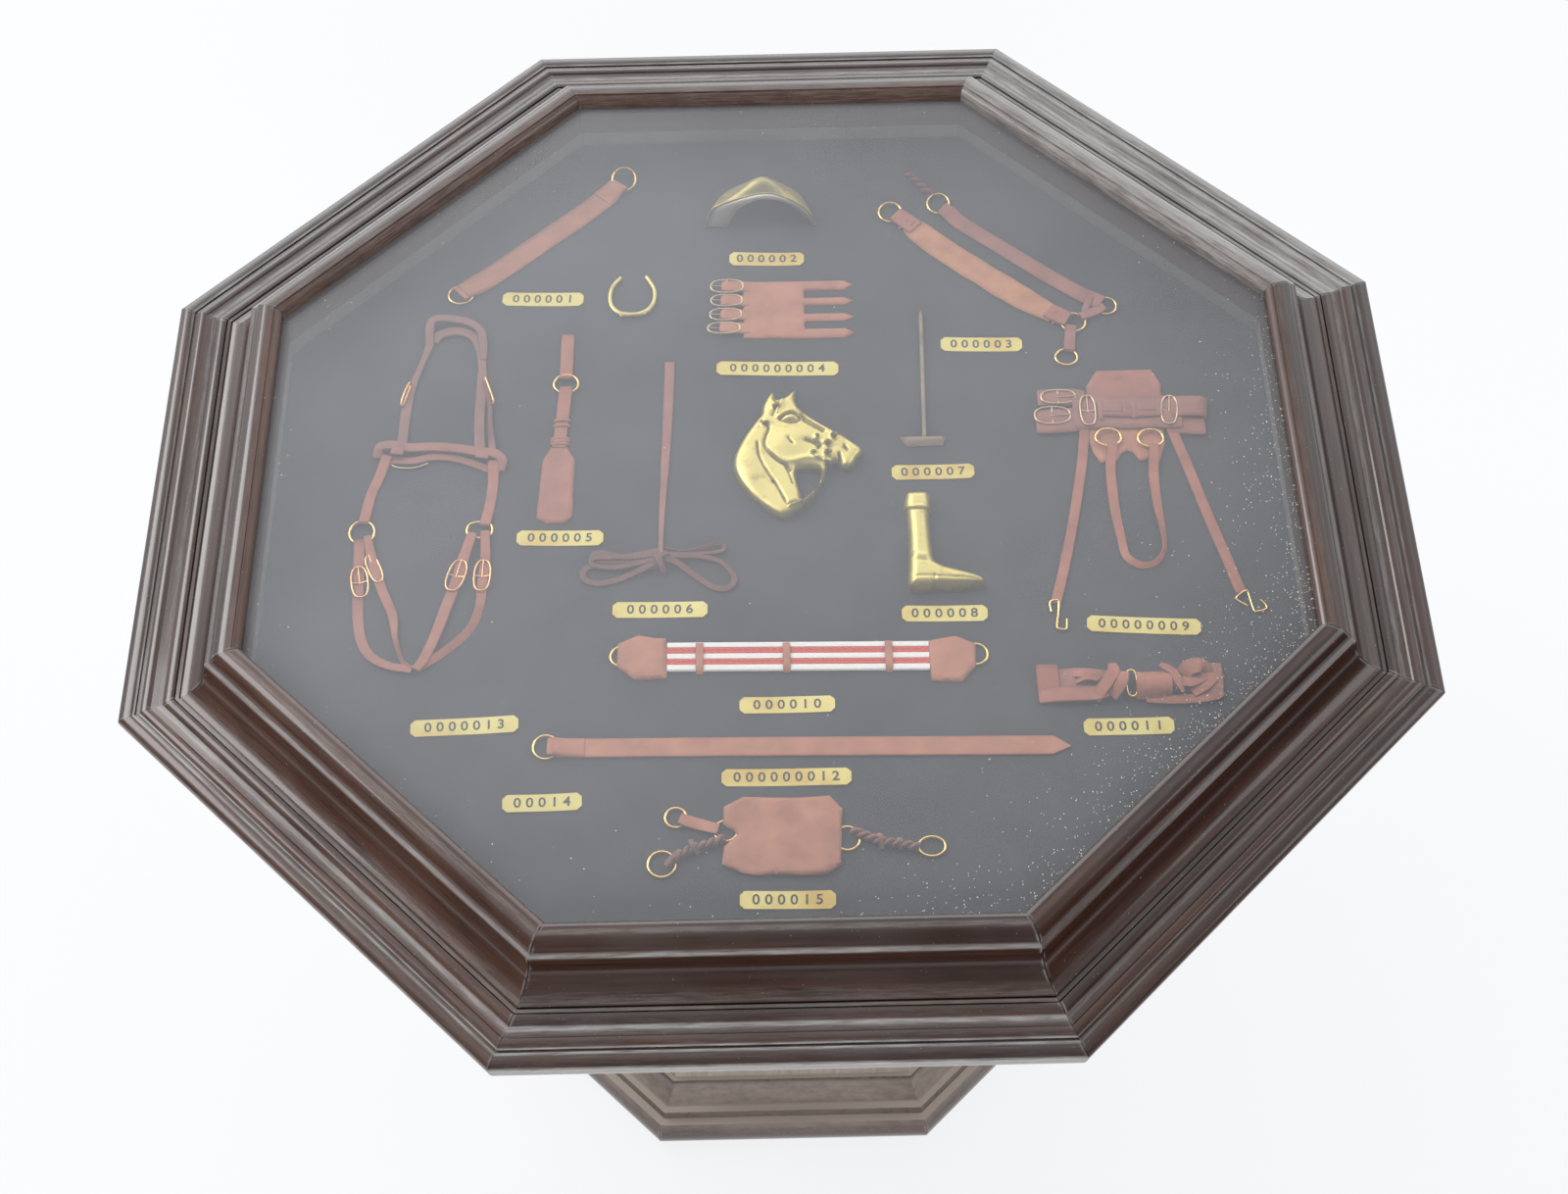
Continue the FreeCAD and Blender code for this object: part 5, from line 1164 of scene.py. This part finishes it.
# Boot: a rounded cast shaft and foot with a cuff and a welted sole
BOOT_EDGE = [(-12.2, 28.6), (-10, 30.2), (-2.4, 30.4), (0.6, 28.8), (1.2, 22), (1.1, 18.4), (0, 17),
             (0.2, 2), (0.6, -8), (1.4, -14.2), (4.6, -17.2), (9.6, -19.4), (18, -22.2), (23.6, -24.6),
             (26.6, -27.2), (25.6, -30.2), (20, -31.6), (12, -32), (2, -31.2), (0, -31), (-1.4, -32.2),
             (-11, -32.2), (-13, -30), (-13.4, -27), (-12.8, -19), (-12, -6), (-12, 8), (-12.4, 17.2),
             (-13.4, 19), (-13.2, 24)]
BOOT_LINES = [
    (-0.7, 0.6, [(-13, 17.6), (-6, 17), (1, 17.6)]),
    (0.5, 0.8, [(-13, 19), (-6, 18.6), (1, 19)]),
    (-0.5, 0.8, [(-9, -15.4), (-4, -16.6), (0, -16)]),
    (-0.6, 0.6, [(-12, -26.6), (-2, -26.4), (10, -27.4), (26, -28.4)]),
    (-0.9, 0.6, [(0.6, -26), (1, -31)]),
    (0.5, 1.2, [(-9, -12), (-5, -13.4), (-1, -12.4)]),
]


def boot_height(points, edge):
    return 6.4 * rounded(edge, 5.2) + 1.6 + strokes_rise(points, BOOT_LINES) * np.minimum(edge / 0.8, 1)


boot = Shape("boot")
relief(boot, smooth(BOOT_EDGE, 0.8, True), boot_height, 0.8)
boot.make("boot_cast", BRASS, "brass", "brass_boot")

# Mallet: a thin cane and a low head with slanted ends
MALLET_HEAD = [(-13, 3.0), (-9.4, -2.2), (10, -1.6), (11.2, 2.6)]


def mallet_height(points, edge):
    return 0.8 + 3.2 * rounded(edge, 2.2)


mallet = Shape("mallet")
wire(mallet, [(0, 2, 2.3), (0.6, 30, 2.3), (1.4, 62, 2.1), (2.0, 91.4, 2.0)], 1.15, spacing=2.0)
relief(mallet, corners(MALLET_HEAD, 1.0), mallet_height, 0.9)
mallet.make("mallet_stick", GREY_WOOD, "dark_wood", "mallet")

# Labels: bowed paper with clipped corners, and a plain number on each
# Each label: the item it stands by, its place, length and turn
LABELS = [
    ("girth", 1.5, -43.6, 45.6, -2), ("cap", 3, -23, 42.4, -2), ("breast", -13.5, -59.4, 45, -2),
    ("guard", 1.5, -42.5, 67, -2), ("flap", 1.5, -71.5, 45.6, -1.5), ("lace", -1.5, -30, 49, -1),
    ("mallet", 3.5, -20, 44, 0), ("boot", 5, -45.5, 44, -1), ("roller", -4, -135.6, 58, -4),
    ("web", -6, -28, 48, 0), ("hobble", -3, -24.5, 45, 0), ("over", -13, -16.5, 64, -0.5),
    ("headstall", 26.5, -147.5, 54, 2), ("over", -133, -28, 39, 1), ("pad", 1.5, -35, 46, -1),
]
LABEL_TALL = 9.8
LABEL_CLIP = 2.3
LABEL_BOW = 0.5
LABEL_RIPPLE = 0.25
PRINT_SIZE = 7.6
PRINT_PITCH = 4.9
PRINT_SHARE = 0.7
PRINT_SPACING = 1.6
PRINT_WEIGHT = 0.018
PAPER_THICK = 0.3
INK_LIFT = 0.12
paper = Shape("table")
digits = Shape("table")


def text_mesh(words, size):
    """Flat faces of a printed number, in millimetres round its middle."""
    curve = bpy.data.curves.new("number", "FONT")
    curve.body = words
    curve.size = size
    curve.align_x = "CENTER"
    curve.align_y = "CENTER"
    curve.space_character = PRINT_SPACING
    curve.offset = PRINT_WEIGHT * size
    writer = bpy.data.objects.new("number", curve)
    bpy.context.scene.collection.objects.link(writer)
    mesh = bpy.data.meshes.new_from_object(writer)
    points = [tuple(corner.co) for corner in mesh.vertices]
    faces = [tuple(face.vertices) for face in mesh.polygons]
    bpy.data.objects.remove(writer)
    bpy.data.curves.remove(curve)
    bpy.data.meshes.remove(mesh)
    return points, faces


def label_point(order, x, y, z):
    """Place a point of one label, counted from its middle, on the bowed paper."""
    item, east, north, length, turn = LABELS[order - 1]
    middle = at(item, east, north)
    cos, sin = math.cos(math.radians(turn)), math.sin(math.radians(turn))
    ripple = LABEL_RIPPLE * noise.noise(Vector((x * 0.05, y * 0.1, order * 3.7)))
    up = max(0.02, LABEL_BOW * (2 * x / length) ** 2 + ripple + z)
    return middle[0] + x * cos - y * sin, middle[1] + x * sin + y * cos, up


def paper_height(points, edge):
    return np.full(len(points), PAPER_THICK)


for order, label in enumerate(LABELS, start=1):
    length = label[3]
    long, tall, clip = length / 2, LABEL_TALL / 2, LABEL_CLIP
    outline = [(clip - long, -tall), (long - clip, -tall), (long, clip - tall), (long, tall - clip),
               (long - clip, tall), (clip - long, tall), (-long, tall - clip), (-long, clip - tall)]
    paper.lay = digits.lay = partial(label_point, order)
    relief(paper, corners(outline, 1.6), paper_height, 2.0)
    figures = int(PRINT_SHARE * length / PRINT_PITCH)
    points, faces = text_mesh(str(order).zfill(figures), PRINT_SIZE)
    digits.add([(x, y, PAPER_THICK + INK_LIFT) for x, y, z in points], faces, [(0, 0)] * len(points))
paper.make("label_papers", PAPER, "paper", "labels")
digits.make("label_numbers", INK, "paper")

# Felt sheet under the glass
FELT_HALF = 273.0
FELT_CORNER = FELT_HALF * MITRE
FELT_EDGE = [(FELT_HALF, -FELT_CORNER), (FELT_HALF, FELT_CORNER), (FELT_CORNER, FELT_HALF),
             (-FELT_CORNER, FELT_HALF), (-FELT_HALF, FELT_CORNER), (-FELT_HALF, -FELT_CORNER),
             (-FELT_CORNER, -FELT_HALF), (FELT_CORNER, -FELT_HALF)]


def felt_height(points, edge):
    """A slight unevenness that stays under the felt's level."""
    return np.array([0.06 * noise.noise(Vector((x * 0.02, y * 0.02, 0.5))) - 0.06 for x, y in points])


felt = Shape("table")
relief(felt, corners(FELT_EDGE, 14), felt_height, 12, base=(FELT_UNDER - FELT_TOP) / MM)
charcoal = felt_cloth("felt_charcoal", (0.034, 0.035, 0.040))
felt_piece = felt.make("felt_sheet", charcoal, "felt", "felt_lining")

# Finishes of the carried-over solids
nodes = frame["nodes"]


def finish(node, material):
    """Give one of the carried-over solids its material."""
    piece = nodes[node]
    for entry in piece.material_slots:
        entry.material = material
    if not piece.material_slots:
        piece.data.materials.append(material)


# Each side's share of pale colour in the moulding, of pale film all over it and of warm wood tone: dust,
# together with painted light that makes some sides lighter, darker or warmer than others
SIDE_LOOKS = {
    "front": (1.25, 0.0, 0.0), "front_right": (0.3, 0.0, 0.0), "right": (0.5, 0.0, 0.0),
    "back_right": (1.9, 0.75, 0.0), "back": (1.3, 0.15, 0.0), "back_left": (1.15, 0.16, 0.0),
    "left": (0.28, 0.0, 0.06), "front_left": (1.1, 0.05, 0.26),
}
LIP_WARMTH_SHARE = 0.6
# Pale film on the base and panels: dust, and painted light from the floor
BASE_FILM_AND_LIGHT = 0.95
PANEL_FILM_AND_LIGHT = 0.74
for index, (side, (dust_sheen_share, film_and_sheen, warm_sheen)) in enumerate(SIDE_LOOKS.items()):
    turn = math.radians(90 - index * 45)
    lip = 0.0 if "front" in side else LIP_WARMTH_SHARE
    moulding = mahogany("mahogany_" + side,
                        turn, profile=RIM_DUST_AND_SHEEN, film_and_sheen=film_and_sheen, dust_sheen_share=dust_sheen_share, lip=lip, warm_sheen=warm_sheen)
    foot = mahogany("mahogany_base_" + side, turn, film_and_sheen=BASE_FILM_AND_LIGHT, dust_and_sheen=FLOOR_DUST_AND_LIGHT_COLOUR)
    panel = mahogany("mahogany_panel_" + side, turn, upright=True, film_and_sheen=PANEL_FILM_AND_LIGHT, dust_and_sheen=FLOOR_DUST_AND_LIGHT_COLOUR)
    finish("rim_rail_" + side, moulding)
    finish("frame_rail_" + side, moulding)
    finish("base_moulding_" + side, foot)
    finish("pedestal_panel_" + side, panel)
pane_levels = [corner[2] for corner in nodes["glass_pane"].bound_box]
finish("glass_pane", window_glass("pane_glass", sum(pane_levels) / len(pane_levels)))
finish("glazing_beads", bare_timber("bead_wood", (0.05, 0.022, 0.015)))
finish("wall_linings", felt_cloth("lining_cloth", (0.085, 0.08, 0.074)))
for name in ("case_bottom", "display_board", "pedestal_top_plate", "glue_blocks"):
    finish(name, bare_timber("timber_" + name, (0.30, 0.19, 0.11)))
finish("case_screws", metal("screw_steel", (0.5, 0.5, 0.52), 0.4))

# Floor, light and camera
FLOOR_SPAN = 9.0
FLOOR_COLOUR = (0.76, 0.77, 0.79, 1)
FLOOR_GLOW = (0.955, 0.965, 0.985, 1)
FLOOR_LIT = 0.84
SKY_COLOUR = (0.97, 0.985, 1.0, 1)


def studio_floor():
    """Pale floor, lit up where it is seen or mirrored so that it keeps only a soft shadow."""
    paint = Paint("studio_floor")
    path = paint.node("LightPath").outputs
    seen = paint.most(path["Is Camera Ray"], paint.most(path["Is Glossy Ray"], path["Is Transmission Ray"]))
    paint.set(Base_Color=FLOOR_COLOUR, Roughness=0.9)
    glow = paint.node("Emission", {"Color": FLOOR_GLOW, "Strength": 1.0}).outputs[0]
    share = paint.times(seen, FLOOR_LIT)
    paint.show(paint.node("MixShader", {0: share, 1: paint.shader.outputs[0], 2: glow}).outputs[0])
    return paint.material


mesh = bpy.data.meshes.new("floor")
mesh.from_pydata([(x * FLOOR_SPAN, y * FLOOR_SPAN, 0) for x, y in ((-1, -1), (1, -1), (1, 1), (-1, 1))],
                 [], [(0, 1, 2, 3)])
mesh.materials.append(studio_floor())
floor = bpy.data.objects.new("floor", mesh)
bpy.context.scene.collection.objects.link(floor)

world = bpy.data.worlds.new("studio")
bpy.context.scene.world = world
world.use_nodes = True
sky = Nodes(world.node_tree)
back = world.node_tree.nodes["Background"]


def fade(value, start, end, low, high):
    """A soft change from one level to another."""
    sockets = {"Value": value, "From Min": start, "From Max": end, "To Min": low, "To Max": high}
    return sky.node("MapRange", sockets, interpolation_type="SMOOTHSTEP").outputs[0]


# Dim towards the camera, bright behind the table and brightest low down there
toward = sky.split(sky.node("TexCoord").outputs["Generated"])
wide_glow = fade(toward["Y"], -0.35, 0.7, 0.22, 1.25)
low_glow = sky.times(fade(toward["Y"], 0.2, 0.7, 0.0, 1.0), fade(toward["Z"], 0.5, 0.78, 1.6, 0.0))
middle_glow = sky.times(sky.plus(wide_glow, low_glow), fade(sky.size(toward["X"]), 0.4, 0.9, 1.0, 0.4))
level = sky.times(middle_glow, fade(toward["X"], -0.5, 0.5, 1.06, 0.84))
sky.put(back.inputs["Strength"], level)
sky.put(back.inputs["Color"], SKY_COLOUR)

# Each soft lamp: place, where it points, width, height and power
LAMPS = {
    "softbox_left": ((-1.8, 1.1, 2.4), (0, 0, 0.4), 1.6, 1.6, 55),
    "softbox_right": ((2.4, 0.5, 2.2), (0, 0, 0.4), 1.6, 1.6, 21),
    "front_fill": ((0.2, -2.6, 1.1), (0, 0, 0.2), 1.4, 0.8, 64),
}
for name, (place, target, wide, tall, power) in LAMPS.items():
    lamp_data = bpy.data.lights.new(name, "AREA")
    lamp_data.energy = power
    lamp_data.shape = "RECTANGLE"
    lamp_data.size = wide
    lamp_data.size_y = tall
    lamp = bpy.data.objects.new(name, lamp_data)
    lamp.location = place
    lamp.visible_glossy = name != "front_fill"
    lamp.rotation_euler = (Vector(target) - Vector(place)).to_track_quat("-Z", "Y").to_euler()
    bpy.context.scene.collection.objects.link(lamp)

# Camera as in the photo: its place, and its turns in degrees about its own axes
CAMERA_PLACE = (0.00722, -0.84789, 1.48971)
CAMERA_TURNS = [("Z", 0.34), ("X", 35.37), ("Z", -1.58)]
camera_data = bpy.data.cameras.new("camera")
camera_data.lens = 60.32
camera_data.sensor_width = 36.0
camera_data.sensor_fit = "HORIZONTAL"
camera = bpy.data.objects.new("camera", camera_data)
stance = Matrix.Translation(CAMERA_PLACE)
for axis, degrees in CAMERA_TURNS:
    stance = stance @ Matrix.Rotation(math.radians(degrees), 4, axis)
camera.matrix_world = stance
bpy.context.scene.collection.objects.link(camera)
bpy.context.scene.camera = camera
bpy.context.scene.view_settings.view_transform = "Standard"
